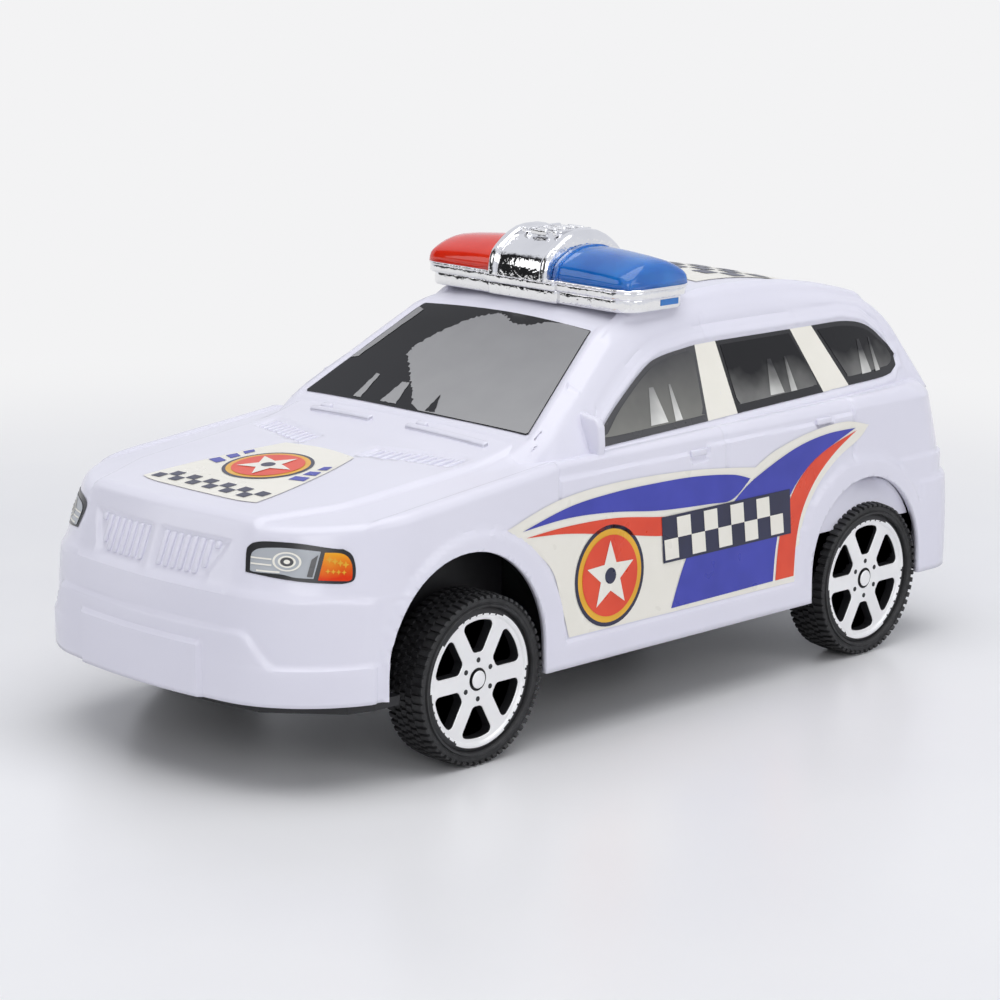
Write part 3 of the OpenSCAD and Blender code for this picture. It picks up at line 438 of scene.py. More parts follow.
def crosses(face, low, high):
    x, z = [v.co.x for v in face.verts], [v.co.z for v in face.verts]
    return (abs(face.verts[0].co.y) > WALL_Y and min(x) <= high[0] and max(x) >= low[0]
            and min(z) <= high[1] and max(z) >= low[1])


def cut_arch(bm, centre, radius):
    line = arch_line(centre, radius, SILL - 1.0)
    for a, b in zip(line, line[1:]):
        low, high = np.minimum(a, b) - SNAP, np.maximum(a, b) + SNAP
        near = [f for f in bm.faces if crosses(f, low, high)]
        geom = list(set(near + [e for f in near for e in f.edges] + [v for f in near for v in f.verts]))
        bmesh.ops.bisect_plane(bm, geom=geom, dist=SNAP, plane_co=(a[0], 0.0, a[1]),
                               plane_no=(b[1] - a[1], 0.0, a[0] - b[0]))
    gone = []
    for f in bm.faces:
        c = f.calc_center_median()
        if abs(c.y) > WALL_Y and math.hypot(c.x - centre[0], max(c.z - centre[1], 0.0)) < radius - 0.01:
            gone.append(f)
    bmesh.ops.delete(bm, geom=gone, context="FACES")


floor = [v for v, kept in zip(tub.verts, shown) if not kept]
bmesh.ops.delete(tub, geom=floor, context="VERTS")
under_cabin = []
for f in tub.faces:
    c = f.calc_center_median()
    if f.normal.z > 0.7 and OPEN_X[0] < c.x < OPEN_X[1] and abs(c.y) < OPEN_Y and c.z > OPEN_Z:
        under_cabin.append(f)
bmesh.ops.delete(tub, geom=under_cabin, context="FACES")
cut_arch(tub, ARCH_F, ARCH_F_R)
cut_arch(tub, ARCH_R, ARCH_R_R)
print("lower body faces", len(tub.faces))

# %% [markdown]
# ## The cabin's skin
# The cabin is a second block that stands in the open deck, as the real mould has its parting step
# at the belt line. Its top face follows windscreen, roof and tail in one sweep; only the top and
# the two sides are kept.

# %% Rows of the cabin's sides
EDGE_ROWS = np.array([-1.7, -1.2, -0.8, -0.45, -0.1, 0.25, 0.6, 1.0, 1.5])
CABIN_FOOT, TAIL_RISE = 55.5, 3.1


def roof_line(x, y):
    screen = SCREEN_FOOT[1] + (SCREEN_FOOT[0] - x) * math.tan(SCREEN_SLOPE)
    crown = roof_crown(x, np.abs(y))
    back = TAIL_FOOT[1] + (x - TAIL_FOOT[0]) * math.tan(TAIL_SLOPE)
    return np.minimum(np.minimum(screen, crown), back)


def side_rows(x, eave):
    low = np.interp(x, WINDOW_X, WINDOW_LOW) - 1.2
    full = np.maximum(eave, low + 8.0)
    top = np.clip(np.interp(x, WINDOW_X, WINDOW_TOP) + 1.2, low + 3.2, full - 2.6)
    foot = CABIN_FOOT + TAIL_RISE * soft(-x, 98.5, 4.0)
    rows = [foot + share * (low - 1.8 - foot) for share in (0.0, 0.5)]
    rows += [low + step for step in EDGE_ROWS]
    rows += [low + 1.5 + share * (top - low - 3.0) for share in np.linspace(0, 1, 12)[1:-1]]
    rows += [top - step for step in EDGE_ROWS[::-1]]
    rows += [top + 1.7 + share * (full - top - 1.7) for share in np.linspace(0, 1, 9)[1:]]
    share = (np.stack(rows, axis=1) - foot[:, None]) / (full - foot)[:, None]
    return foot[:, None] + share * (eave - foot)[:, None]


print("rows on a cabin side", side_rows(np.zeros(1), np.full(1, 80.0)).shape[1])

# %% Shape the cabin
cols_up = stations(-104.0, -94.0, 12, -88.0, 12, -82.0, 8, -66.0, 12, -58.0, 12, -29.0, 16, -22.0, 12, -4.0,
                   14, 2.0, 6, 5.0, 6, 12.0, 10, 18.5, 16, 33.0, 12, 36.0, 6, 44.0, 8)
half_up = stations(0.0, 24.0, 14, 29.4, 16, 33.0, 8)
wide_up = both_ways(half_up)
eave = np.full_like(cols_up, 80.0)
for _ in range(14):
    eave = 0.5 * eave + 0.5 * roof_line(cols_up, cabin_side(cols_up, eave))
TUCK = 2.5
edge = np.column_stack([cols_up, cabin_side(cols_up, eave) - TUCK, eave - TUCK])
edge = settle_along(cabin, edge, np.tile((0.0, math.sqrt(0.5), math.sqrt(0.5)), (len(edge), 1)), 14)
heights = side_rows(cols_up, edge[:, 2])
last_row = heights.shape[1] - 1
top, col, lane, row = cut_cube(len(cols_up), len(wide_up), last_row + 1)
x, across, height = cols_up[col], wide_up[lane], heights[col, row]
at_side = np.abs(across) > 1 - 1e-6
on_top = (row == last_row) & ~at_side
on_side = at_side & (row < last_row)
flat_y = np.abs(across) * edge[col, 1]
spots = np.column_stack([x, flat_y, height])
spots[on_top, 2] = roof_line(x[on_top], flat_y[on_top])
spots[on_side, 1] = cabin_side(x[on_side], height[on_side])
for part, way in ((on_top, (0.0, 0.0, 1.0)), (on_side, (0.0, 1.0, 0.0))):
    spots[part] = settle_along(cabin, spots[part], np.tile(way, (part.sum(), 1)))
spots[:, 1] *= np.where(across < 0, -1.0, 1.0)
put(top, spots)
lowest = {v for v, at in zip(top.verts, row) if at == 0}
bare = [f for f in top.faces if lowest.issuperset(f.verts)
        or max(v.co.x for v in f.verts) - min(v.co.x for v in f.verts) < 0.01]
bmesh.ops.delete(top, geom=bare, context="FACES")
print("cabin faces", len(top.faces), "largest miss %.2f mm" % np.abs(cabin(spots[on_top | on_side])).max())

# %% [markdown]
# ## A helper that hands a mesh over as a piece
# Every piece is finished alike: scaled to metres, its normals set outwards, sharp edges marked by
# their angle, its materials given, and then hung under the body it rides on, with the solid it
# stands for hidden.


# %% Hand a mesh over
def hand_over(name, bm, body, stands_for, finishes, angle=38.0, outward=True):
    if outward:
        bmesh.ops.recalc_face_normals(bm, faces=bm.faces)
    bmesh.ops.scale(bm, vec=(MM, MM, MM), verts=bm.verts)
    for f in bm.faces:
        f.smooth = True
    for e in bm.edges:
        e.smooth = e.is_boundary or e.calc_face_angle(0.0) < math.radians(angle)
    mesh = bpy.data.meshes.new(name)
    bm.to_mesh(mesh)
    bm.free()
    made = bpy.data.objects.new(name, mesh)
    bpy.context.scene.collection.objects.link(made)
    for made_of in finishes:
        mesh.materials.append(made_of)
    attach(made, body)
    if stands_for:
        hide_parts(*stands_for)
    print(name, "faces", len(mesh.polygons))
    return made


def join(bm, part):
    mesh = bpy.data.meshes.new("joined")
    part.to_mesh(mesh)
    part.free()
    bm.from_mesh(mesh)
    bpy.data.meshes.remove(mesh)


def thicken(made, wall_mm, offset):
    wall = made.modifiers.new("wall", "SOLIDIFY")
    wall.thickness, wall.offset = wall_mm * MM, offset


SHELL_WALL, LENS_WALL = 1.5, 0.6
print("walls", SHELL_WALL, LENS_WALL, "mm")

# %% [markdown]
# ## Finishes
# Each finish is built from nodes on Object coordinates, so it stays on the piece. One function
# adds a node, sets its settings and links its inputs; one turns an sRGB hex colour to linear.


# %% Colour and node helpers
def tone(code):
    parts = [int(code[k:k + 2], 16) / 255 for k in (1, 3, 5)]
    return tuple(c / 12.92 if c <= 0.04045 else ((c + 0.055) / 1.055) ** 2.4 for c in parts) + (1.0,)


def node(tree, kind, inputs=None, **settings):
    made = tree.nodes.new(kind)
    for key, value in settings.items():
        setattr(made, key, value)
    for key, value in (inputs or {}).items():
        if isinstance(value, bpy.types.NodeSocket):
            tree.links.new(value, made.inputs[key])
        else:
            made.inputs[key].default_value = value
    return made


def finish(name, **shader):
    made = bpy.data.materials.new(name)
    made.use_nodes = True
    tree = made.node_tree
    tree.nodes.clear()
    out = node(tree, "ShaderNodeOutputMaterial")
    gloss = node(tree, "ShaderNodeBsdfPrincipled", {k.replace("_", " "): v for k, v in shader.items()})
    tree.links.new(gloss.outputs[0], out.inputs[0])
    place = node(tree, "ShaderNodeTexCoord").outputs["Object"]
    return made, tree, gloss, place


def blotches(tree, place, size_mm, low, high):
    cloud = node(tree, "ShaderNodeTexNoise", {"Vector": place, "Scale": 1 / (size_mm * MM), "Detail": 2.0})
    ramp = node(tree, "ShaderNodeMapRange", {"Value": cloud.outputs["Fac"], "From Min": 0.3,
                                             "From Max": 0.7, "To Min": low, "To Max": high})
    return ramp.outputs[0]


def varied(tree, place, size_mm, first, second):
    share = blotches(tree, place, size_mm, 0.0, 1.0)
    mixed = node(tree, "ShaderNodeMix", {0: share, 6: tone(first), 7: tone(second)}, data_type="RGBA")
    return mixed.outputs[2]


print("mid grey in linear: %.3f" % tone("#808080")[0])

# %% [markdown]
# ## Plastics, rubber and plating
# The shell is white ABS from a polished mould: glossy, a little lilac in the shade, with a very
# faint orange peel. The chassis is black polypropylene with a fine spark texture, the tyres soft
# black PVC, the light bar vacuum-plated polystyrene and its lenses clear tinted polystyrene.


# %% Moulded finishes
def moulded(name, first, second, patch_mm, shine=None, grain=None, **shader):
    made, tree, gloss, place = finish(name, **shader)
    tree.links.new(varied(tree, place, patch_mm, first, second), gloss.inputs["Base Color"])
    if shine:
        tree.links.new(blotches(tree, place, *shine), gloss.inputs["Roughness"])
    if grain:
        size_mm, detail, strength, depth_mm = grain
        cloud = node(tree, "ShaderNodeTexNoise", {"Vector": place, "Scale": 1 / (size_mm * MM),
                                                  "Detail": detail})
        bump = node(tree, "ShaderNodeBump", {"Height": cloud.outputs["Fac"], "Strength": strength,
                                             "Distance": depth_mm * MM})
        tree.links.new(bump.outputs[0], gloss.inputs["Normal"])
    return made


white_abs = moulded("polished_white_abs", "#e9e8f4", "#e4e3f0", 45.0, (14.0, 0.19, 0.27),
                    (3.0, 1.0, 0.12, 0.05), Roughness=0.22, IOR=1.53)
black_pp = moulded("spark_textured_black_pp", "#161618", "#1f1f22", 6.0, None, (0.5, 2.0, 0.3, 0.08),
                   Roughness=0.5, IOR=1.49)
tyre_pvc = moulded("soft_black_pvc", "#151516", "#222224", 3.0, (2.0, 0.45, 0.68), (0.6, 2.0, 0.25, 0.06),
                   Roughness=0.55, IOR=1.52)
silver_stamp = moulded("hot_stamped_silver_foil", "#fafafa", "#f3f3f4", 6.0, (3.0, 0.28, 0.36),
                       Roughness=0.3, Metallic=0.12)
plated = moulded("vacuum_plated_polystyrene", "#f0f0f1", "#e4e4e6", 9.0, (5.0, 0.03, 0.1),
                 (1.3, 2.0, 0.6, 0.16), Roughness=0.05, Metallic=1.0)
FLOW, CLEAR = (5.0, 1.0, 0.1, 0.1), {"Roughness": 0.04, "IOR": 1.58}
blue_ps = moulded("clear_blue_polystyrene", "#2f9bf5", "#1d80e0", 8.0, None, FLOW, Transmission_Weight=0.5,
                  **CLEAR)
red_ps = moulded("clear_red_polystyrene", "#ff3f24", "#f93119", 8.0, None, FLOW, Transmission_Weight=0.3,
                 **CLEAR)
print("moulded finishes", [m.name for m in (white_abs, black_pp, tyre_pvc, silver_stamp, plated, blue_ps,
                                            red_ps)])

# %% [markdown]
# ## Metal and the hidden works
# Axles, shafts and screws are drawn steel, the flywheel is turned iron and the gears are natural
# nylon. They hardly show, but anyone who opens the part sees them, so they get real finishes too.


# %% Finishes of the works
def machined(name, first, second, rough, turn_mm):
    made, tree, gloss, place = finish(name, Roughness=rough, Metallic=1.0)
    tree.links.new(varied(tree, place, 3.0, first, second), gloss.inputs["Base Color"])
    rings = node(tree, "ShaderNodeTexWave", {"Vector": place, "Scale": 0.16 / (turn_mm * MM),
                                             "Distortion": 1.0},
                 bands_direction="Y")
    marks = node(tree, "ShaderNodeBump", {"Height": rings.outputs["Fac"], "Strength": 0.15,
                                          "Distance": 0.03 * MM})
    tree.links.new(marks.outputs[0], gloss.inputs["Normal"])
    return made


drawn_steel = machined("drawn_steel", "#b4b5b8", "#9fa0a4", 0.3, 0.5)
turned_iron = machined("turned_iron", "#5c5c60", "#4c4c50", 0.42, 0.4)
nylon = moulded("natural_nylon", "#e8e0c4", "#ddd3b2", 5.0, Roughness=0.4, IOR=1.53)
works = {"chassis": black_pp, "drive_case_left": black_pp, "drive_case_right": black_pp, "axle_gear": nylon,
         "idler_gear": nylon, "flywheel_pinion": nylon, "flywheel": turned_iron}
for name in ("chassis_screws", "drive_screws", "front_axle", "rear_axle", "idler_shaft", "flywheel_shaft"):
    works[name] = drawn_steel
for name, made in works.items():
    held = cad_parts[name].data.materials
    held.clear()
    held.append(made)
print("works finished", len(works))

# %% [markdown]
# ## Printed sticker stock
# The stickers are glossy self-adhesive film with flat inks. Each ink layer is a thin sheet laid
# about a tenth of a millimetre over the one below. The ink is slightly mottled, as cheap litho
# print is, in patches of under a centimetre.


# %% Inks and films
def ink(name, first, second, rough=0.3):
    return moulded(name, first, second, 9.0, (6.0, rough - 0.03, rough + 0.04), Roughness=rough, IOR=1.5)


cream_stock = ink("cream_sticker_film", "#f5f2e8", "#f1eee3")
blue_ink = ink("blue_violet_litho_ink", "#3a41b4", "#3038a6")
red_ink = ink("orange_red_litho_ink", "#ea4a26", "#df3c1b")
navy_ink = ink("dark_blue_litho_ink", "#1f2347", "#171a38")
gold_ink = ink("yellow_litho_ink", "#f0b82c", "#e3a51c")
black_ink = ink("black_litho_ink", "#121214", "#1b1b1e", 0.25)
grey_ink = ink("pale_grey_litho_ink", "#b9bdc2", "#9fa4aa")
lamp_red = ink("lamp_red_litho_ink", "#b81a16", "#a01210")


def faded_film(name, low_tone, high_tone, low_mm, high_mm, rough=0.14):
    made, tree, gloss, place = finish(name, Roughness=rough, IOR=1.5, Specular_IOR_Level=0.2)
    height = node(tree, "ShaderNodeSeparateXYZ", {0: place})
    sway = blotches(tree, place, 7.0, -1.5 * MM, 1.5 * MM)
    level = node(tree, "ShaderNodeMath", {0: height.outputs["Z"], 1: sway}, operation="ADD")
    rise = node(tree, "ShaderNodeMapRange", {"Value": level.outputs[0], "From Min": low_mm * MM,
                                             "From Max": high_mm * MM})
    shade = node(tree, "ShaderNodeMix", {0: rise.outputs[0], 6: tone(low_tone), 7: tone(high_tone)},
                 data_type="RGBA")
    tree.links.new(shade.outputs[2], gloss.inputs["Base Color"])
    return made


screen_film = faded_film("black_screen_film", "#202023", "#151517", 60.0, 84.0)
screen_glare = faded_film("grey_glare_ink", "#a6a6a7", "#8c8c8e", 62.0, 84.0)
pane_pale = faded_film("grey_window_film", "#84847f", "#4c4c4e", 61.0, 76.0)
pane_dark = faded_film("smoked_window_film", "#828280", "#1c1c1e", 62.0, 70.5)
amber_ink = faded_film("amber_litho_ink", "#e2390c", "#f6b42a", 44.0, 50.0, 0.3)
bar_pale = faded_film("pale_reflection_ink", "#e4e4e0", "#7c7c7c", 62.0, 70.0)
bar_dark = faded_film("dim_reflection_ink", "#e0e0dc", "#38383a", 63.0, 70.5)
frame_grey = ink("dark_grey_litho_ink", "#4c4c4e", "#444446", 0.25)
print("inks and films ready")

# %% [markdown]
# ## The two skins and the small moulded features
# Grille bars, bonnet vents, wipers, mirrors and handles belong to the same moulding. Each is a
# small bevelled block sunk in the skin, which is how a mould maker cuts them: as separate
# pockets in the tool.


# %% Bevelled blocks on a skin
def box(low, high):
    part = bmesh.new()
    bmesh.ops.create_cube(part, size=1.0)
    low, high = Vector(low), Vector(high)
    bmesh.ops.scale(part, vec=high - low, verts=part.verts)
    bmesh.ops.translate(part, vec=(low + high) / 2, verts=part.verts)
    return part


def roll_edges(part, edges, radius, segments=3):
    bmesh.ops.bevel(part, geom=edges, offset=radius, offset_type="OFFSET", affect="EDGES",
                    segments=segments, profile=0.5, material=-1)


def block(bm, low, high, edge, shape=None, cuts=0):
    part = box(low, high)
    if cuts:
        bmesh.ops.subdivide_edges(part, edges=part.edges[:], cuts=cuts, use_grid_fill=True)
    roll_edges(part, [e for e in part.edges if e.calc_face_angle(0.0) > 0.5], edge)
    if shape:
        put(part, shape(places(part)))
    bmesh.ops.recalc_face_normals(part, faces=part.faces)
    join(bm, part)


def on_nose(p):
    return p + nose_face(p[:, 1], p[:, 2])[:, None] * (1.0, 0.0, 0.0)


def on_deck(p):
    return p + deck(p[:, 0], p[:, 1])[:, None] * (0.0, 0.0, 1.0)


def on_door(side):
    return lambda p: (p + door_side(p[:, 0], p[:, 2])[:, None] * (0.0, 1.0, 0.0)) * (1.0, side, 1.0)


for name, skin_part in (("moulded_body", tub), ("moulded_cabin", top)):
    made = hand_over(name, skin_part, "car", ["body_shell"], [white_abs], 34.0,
                     outward=False)
    thicken(made, SHELL_WALL, -1.0)

trim = bmesh.new()
RIBS, RIB_W, RIB_STEP = 8, 1.25, 2.05
VENTS, VENT_STEP, VENT_LEAN = 10, 2.0, 0.55
for side in (-1, 1):
    for k in range(RIBS):
        y = side * (2.9 + RIB_STEP * k)
        foot = 42.4 + max(0.0, (abs(y) - 14.5) * 1.9)
        block(trim, (-0.5, y - RIB_W / 2, foot), (0.55, y + RIB_W / 2, 49.1), 0.4, on_nose, 1)
    for k in range(VENTS):
        y = 10.2 + VENT_STEP * k
        x = 51.5 - 0.28 * (y - 19.0)

        def slanted(p, side=side, y=y):
            return on_deck((p - VENT_LEAN * (p[:, 1:2] - y) * (1.0, 0.0, 0.0)) * (1.0, side, 1.0))

        block(trim, (x - 2.7, y - 0.5, -0.4), (x + 2.7, y + 0.5, 0.55), 0.35, slanted, 1)
for low, high in ((5.0, 28.5), (-24.5, -6.0)):
    block(trim, (38.6, low, -0.6), (40.2, high, 0.9), 0.45, on_deck, 3)
    block(trim, (37.6, low + 2.0, -0.6), (39.0, low + 5.0, 1.3), 0.4, on_deck)
for side in (-1, 1):
    for x, z in ((-11.4, 55.6), (-55.2, 57.0)):
        block(trim, (x - 2.6, -0.6, z - 0.7), (x + 2.6, 0.6, z + 0.7), 0.25, on_door(side), 1)
print("bars", 2 * RIBS, "vents", 2 * VENTS, "trim faces", len(trim.faces))

# %% [markdown]
# ## The mirrors and the rear wheel wells
# A mirror is an upright fin on the window wall: its outline is drawn once, pushed along the car and
# its edges rolled. The rear wheels turn in white wells behind the arches: the arch line pushed
# inwards, closed by a wall. The front wheels have the black chassis behind them instead.

# %% Fins and wells
FIN = [(36.5, 56.0), (42.2, 56.0), (42.8, 61.0), (42.5, 65.0), (41.4, 66.5), (36.0, 67.4)]
FIN_X = (AXLE_F - 39.6, AXLE_F - 37.4)
WELL_LOW, WELL_IN, WELL_OUT = AXLE_Z + 13.0, 33.0, 43.8


def pushed(points, way):
    part = bmesh.new()
    face = part.faces.new([part.verts.new(p) for p in points])
    ends = bmesh.ops.extrude_face_region(part, geom=[face])["geom"]
    bmesh.ops.translate(part, vec=way, verts=[v for v in ends if isinstance(v, bmesh.types.BMVert)])
    bmesh.ops.recalc_face_normals(part, faces=part.faces)
    return part


wells = bmesh.new()
for side in (-1, 1):
    fin = pushed([(FIN_X[0], side * y, z) for y, z in FIN], (FIN_X[1] - FIN_X[0], 0.0, 0.0))
    roll_edges(fin, fin.edges[:], 0.6, 4)
    join(trim, fin)
    line = arch_line(ARCH_R, ARCH_R_R, WELL_LOW)
    well = pushed([(x, side * WELL_IN, z) for x, z in line], (0.0, side * (WELL_OUT - WELL_IN), 0.0))
    open_ends = [f for f in well.faces if f.normal.y * side > 0.9 or f.normal.z < -0.9]
    bmesh.ops.delete(well, geom=open_ends, context="FACES")
    join(wells, well)
hand_over("moulded_trim", trim, "car", ["body_shell"], [white_abs], 34.0)
made = hand_over("moulded_wells", wells, "car", ["body_shell"], [white_abs], 34.0,
                 outward=False)
thicken(made, SHELL_WALL, 1.0)

# %% [markdown]
# ## The wheels
# A wheel is a black moulded rim with a silver foil stamped on its face, and a soft tyre. Both are
# turned shapes, so profiles are spun round the axle. The disc between hub and rim is made once as a
# sixth part: a window with rounded corners, bridged to the sixth's own edge, and then spun to six.


# %% Spin a profile round the axle
def spun(profile, steps, closed=False):
    bm = bmesh.new()
    line = [bm.verts.new((r, y, 0.0)) for r, y in profile]
    ring = [bm.edges.new(pair) for pair in zip(line, line[1:])]
    if closed:
        ring.append(bm.edges.new((line[-1], line[0])))
    bmesh.ops.spin(bm, geom=line + ring, cent=(0, 0, 0), axis=(0, 1, 0), angle=2 * math.pi, steps=steps,
                   use_merge=True)
    bmesh.ops.remove_doubles(bm, verts=bm.verts, dist=1e-4)
    return bm


def polar(face):
    c = face.calc_center_median()
    return math.hypot(c.x, c.z), math.degrees(math.atan2(c.z, c.x)) % 360.0, c.y


def set_on_axle(bm, axle_x, side):
    if side < 0:
        bmesh.ops.scale(bm, vec=(1, -1, 1), verts=bm.verts)
    bmesh.ops.translate(bm, vec=(axle_x, 0.0, AXLE_Z), verts=bm.verts)
    bmesh.ops.recalc_face_normals(bm, faces=bm.faces)


# %% A sixth of the wheel's disc
FACE_Y, BACK_Y = tyre_high[1], tyre_low[1]
RIM_R, SPOKES, STEPS, LUGS = 15.0, 6, 180, 60
WEB, WEB_T = FACE_Y - 1.2, 2.4
HUB_R, DISC_R, PANE_MIDDLE, SPOKE_HALF = 5.0, 13.2, 9.2, 1.6
PANE_IN, PANE_OUT, FOIL_R, FLANGE_R = 5.5, 12.6, 14.25, 13.3
BOLT_R, BOLT_RING = 0.55, 4.1


def pane_depth(a, b):
    sides = SPOKE_HALF - a * math.sin(math.pi / SPOKES) + np.abs(b) * math.cos(math.pi / SPOKES)
    r = np.hypot(a, b)
    return corner(corner(sides, r - PANE_OUT, 1.5), PANE_IN - r, 0.8)


def pane_edge(ends):
    way = ends - np.array([PANE_MIDDLE, 0.0])
    near, far = np.zeros(len(ends)), np.ones(len(ends))
    for _ in range(30):
        half_way = (near + far) / 2
        inside = pane_depth(PANE_MIDDLE + half_way * way[:, 0], half_way * way[:, 1]) < 0
        near, far = np.where(inside, half_way, near), np.where(inside, far, half_way)
    return np.array([PANE_MIDDLE, 0.0]) + near[:, None] * way


def closed_line(bm, points, y):
    verts = [bm.verts.new((a, y, b)) for a, b in points]
    return [bm.edges.new(pair) for pair in zip(verts, verts[1:] + verts[:1])]


def disc_sixth():
    turns = np.linspace(-math.pi / SPOKES, math.pi / SPOKES, STEPS // SPOKES + 1)
    radii = np.linspace(HUB_R, DISC_R, 10)
    rounds = [(DISC_R, t) for t in turns] + [(r, turns[-1]) for r in radii[-2:0:-1]]
    rounds += [(HUB_R, t) for t in turns[::-1]] + [(r, turns[0]) for r in radii[1:-1]]
    border = np.array([(r * math.cos(t), r * math.sin(t)) for r, t in rounds])
    pane = pane_edge(border)
    middle = np.array([PANE_MIDDLE, 0.0])
    bm = bmesh.new()
    loops = [closed_line(bm, border, WEB), closed_line(bm, pane, WEB)]
    for scale, y in ((0.95, WEB - 0.2), (0.93, WEB - WEB_T)):
        loops.append(closed_line(bm, middle + (pane - middle) * scale, y))
    loops.append(closed_line(bm, border, WEB - WEB_T))
    for first, second in zip(loops, loops[1:]):
        bmesh.ops.bridge_loops(bm, edges=first + second)
    bmesh.ops.rotate(bm, matrix=Matrix.Rotation(-math.pi / SPOKES, 3, "Y"), verts=bm.verts)
    bmesh.ops.spin(bm, geom=bm.verts[:] + bm.edges[:] + bm.faces[:], cent=(0, 0, 0), axis=(0, 1, 0),
                   steps=SPOKES - 1, angle=2 * math.pi * (SPOKES - 1) / SPOKES, use_duplicate=True)
    return bm


def make_rim(axle_x, side, end):
    bm = spun([(0.0, WEB + 0.5), (1.5, WEB + 0.45), (1.85, WEB + 0.2), (1.9, WEB - 0.5), (2.35, WEB - 0.5),
               (2.4, WEB - 0.1), (2.55, WEB), (HUB_R, WEB)], STEPS)
    join(bm, spun([(HUB_R, WEB - WEB_T), (3.6, WEB - WEB_T), (3.6, BACK_Y - 2.7), (0.0, BACK_Y - 2.7)],
                  STEPS))
    join(bm, spun([(DISC_R, WEB), (13.5, WEB + 0.4), (13.8, WEB + 0.5), (14.2, WEB + 0.5),
                   (14.5, WEB + 0.4), (RIM_R, WEB + 0.2),
                   (RIM_R, BACK_Y + 0.6), (FLANGE_R, BACK_Y + 0.6), (FLANGE_R, WEB - WEB_T),
                   (DISC_R, WEB - WEB_T)], STEPS))
    join(bm, disc_sixth())
    bmesh.ops.remove_doubles(bm, verts=bm.verts, dist=0.01)
    bmesh.ops.recalc_face_normals(bm, faces=bm.faces)
    for f in bm.faces:
        r, _, y = polar(f)
        f.material_index = int(f.normal.y > 0.35 and y > WEB - 0.16 and r < FOIL_R)
    for k in range(SPOKES):
        turn = 2 * math.pi * (k + 0.5) / SPOKES
        bolt = bmesh.new()
        bmesh.ops.create_cone(bolt, cap_ends=True, segments=16, radius1=BOLT_R, radius2=BOLT_R, depth=0.6)
        bmesh.ops.rotate(bolt, matrix=Matrix.Rotation(-math.pi / 2, 3, "X"), verts=bolt.verts)
        bmesh.ops.translate(bolt, verts=bolt.verts,
                            vec=(BOLT_RING * math.cos(turn), WEB - 0.25, BOLT_RING * math.sin(turn)))
        join(bm, bolt)
    set_on_axle(bm, axle_x, side)
    name = end + ("_left" if side > 0 else "_right")
    hand_over("rim_piece_" + name, bm, end + "_wheelset", ["rim_" + name],
              [black_pp, silver_stamp], 30.0)


# %% [markdown]
# The tread is three middle rows of blocks between two rows of shoulder lugs, staggered like bricks.
# Faces round the spun tyre are raised together, two steps in three; a shoulder lug takes the top
# of the sidewall with it, so that the tyre's edge is notched all round.


# %% Tyres
TREAD_ROWS = (0.4, 2.5, 4.2, 5.8, 7.5, 9.6)
LUG_RISE, LUG_DRAFT, SHOULDER_DROP = 0.5, 0.1, 0.25


def make_tyre(axle_x, side, end):
    base, brow, knee = TYRE_R - 0.55, RIM_R + 1.9, 0.3
    wall = [(RIM_R, 0.7), (RIM_R + 0.3, 0.15), (RIM_R + 0.7, 0.05), (RIM_R + 0.85, 0.4),
            (RIM_R + 1.05, 0.4), (RIM_R + 1.2, knee), (brow, knee)]
    tread = [(base - (SHOULDER_DROP if y in (TREAD_ROWS[0], TREAD_ROWS[-1]) else 0.0),
              BACK_Y + y) for y in TREAD_ROWS]
    bm = spun([(r, BACK_Y + y) for r, y in wall] + tread + [(r, FACE_Y - y) for r, y in wall[::-1]], STEPS,
              closed=True)
    bmesh.ops.recalc_face_normals(bm, faces=bm.faces)
    rows = {}
    for f in bm.faces:
        r, turn, y = polar(f)
        if r > brow + 0.02:
            row = sum(y - BACK_Y > edge_y for edge_y in TREAD_ROWS[1:-1])
            step = (int(turn * STEPS / 360) + row % 2) % STEPS
            if step % (STEPS // LUGS):
                rows.setdefault((row, step * LUGS // STEPS), []).append(f)
    for lug in rows.values():
        bmesh.ops.inset_region(bm, faces=lug, thickness=LUG_DRAFT, depth=LUG_RISE, use_even_offset=True,
                               use_boundary=True)
    set_on_axle(bm, axle_x, side)
    name = end + ("_left" if side > 0 else "_right")
    hand_over("tyre_piece_" + name, bm, end + "_wheelset", ["tyre_" + name], [tyre_pvc], 30.0)


for end, axle_x in (("front", AXLE_F), ("rear", AXLE_R)):
    for side in (1, -1):
        make_rim(axle_x, side, end)
        make_tyre(axle_x, side, end)

# %% [markdown]
# ## The light bar
# The tray is a stack of plated slabs with rolled corners: a lower tier, a flange and a bead round
# its top. The housing in the middle is an arch pushed across the car, with a raised hoop at each
# end. A lens is the same arch drawn out sideways, lower and narrower towards its outer end.


# %% Slabs, hoops and drawn arches
def slab(bm, low, high, roll, rim):
    part = box(low, high)
    roll_edges(part, [e for e in part.edges if abs(e.verts[0].co.z - e.verts[1].co.z) > 0.1], roll, 8)
    roll_edges(part, [e for e in part.edges if e.calc_face_angle(0.0) > 1.2], rim)
    join(bm, part)


bar_low, bar_high = span("light_bar_base")
lens_low, lens_high = span("lens_left")
BAR_X = (bar_low[0] + bar_high[0]) / 2 - 1.6
BAR_L, BAR_W = (bar_high[0] - bar_low[0]) / 2 - 1.1, bar_high[1] - 3.1
TRAY_TOP, HUMP_TOP = lens_high[2] - 7.1, bar_high[2] + 0.9
TRAY_LOW = TRAY_TOP - 5.2
HUMP = lens_low[1] - 0.3
HOOP = np.array([(1.0, 0.0), (0.985, 0.22), (0.955, 0.4), (0.9, 0.52), (0.82, 0.62), (0.68, 0.75),
                 (0.52, 0.87), (0.34, 0.96), (0.15, 1.0)])
ARCH = np.concatenate([HOOP, HOOP[::-1] * (-1, 1)])


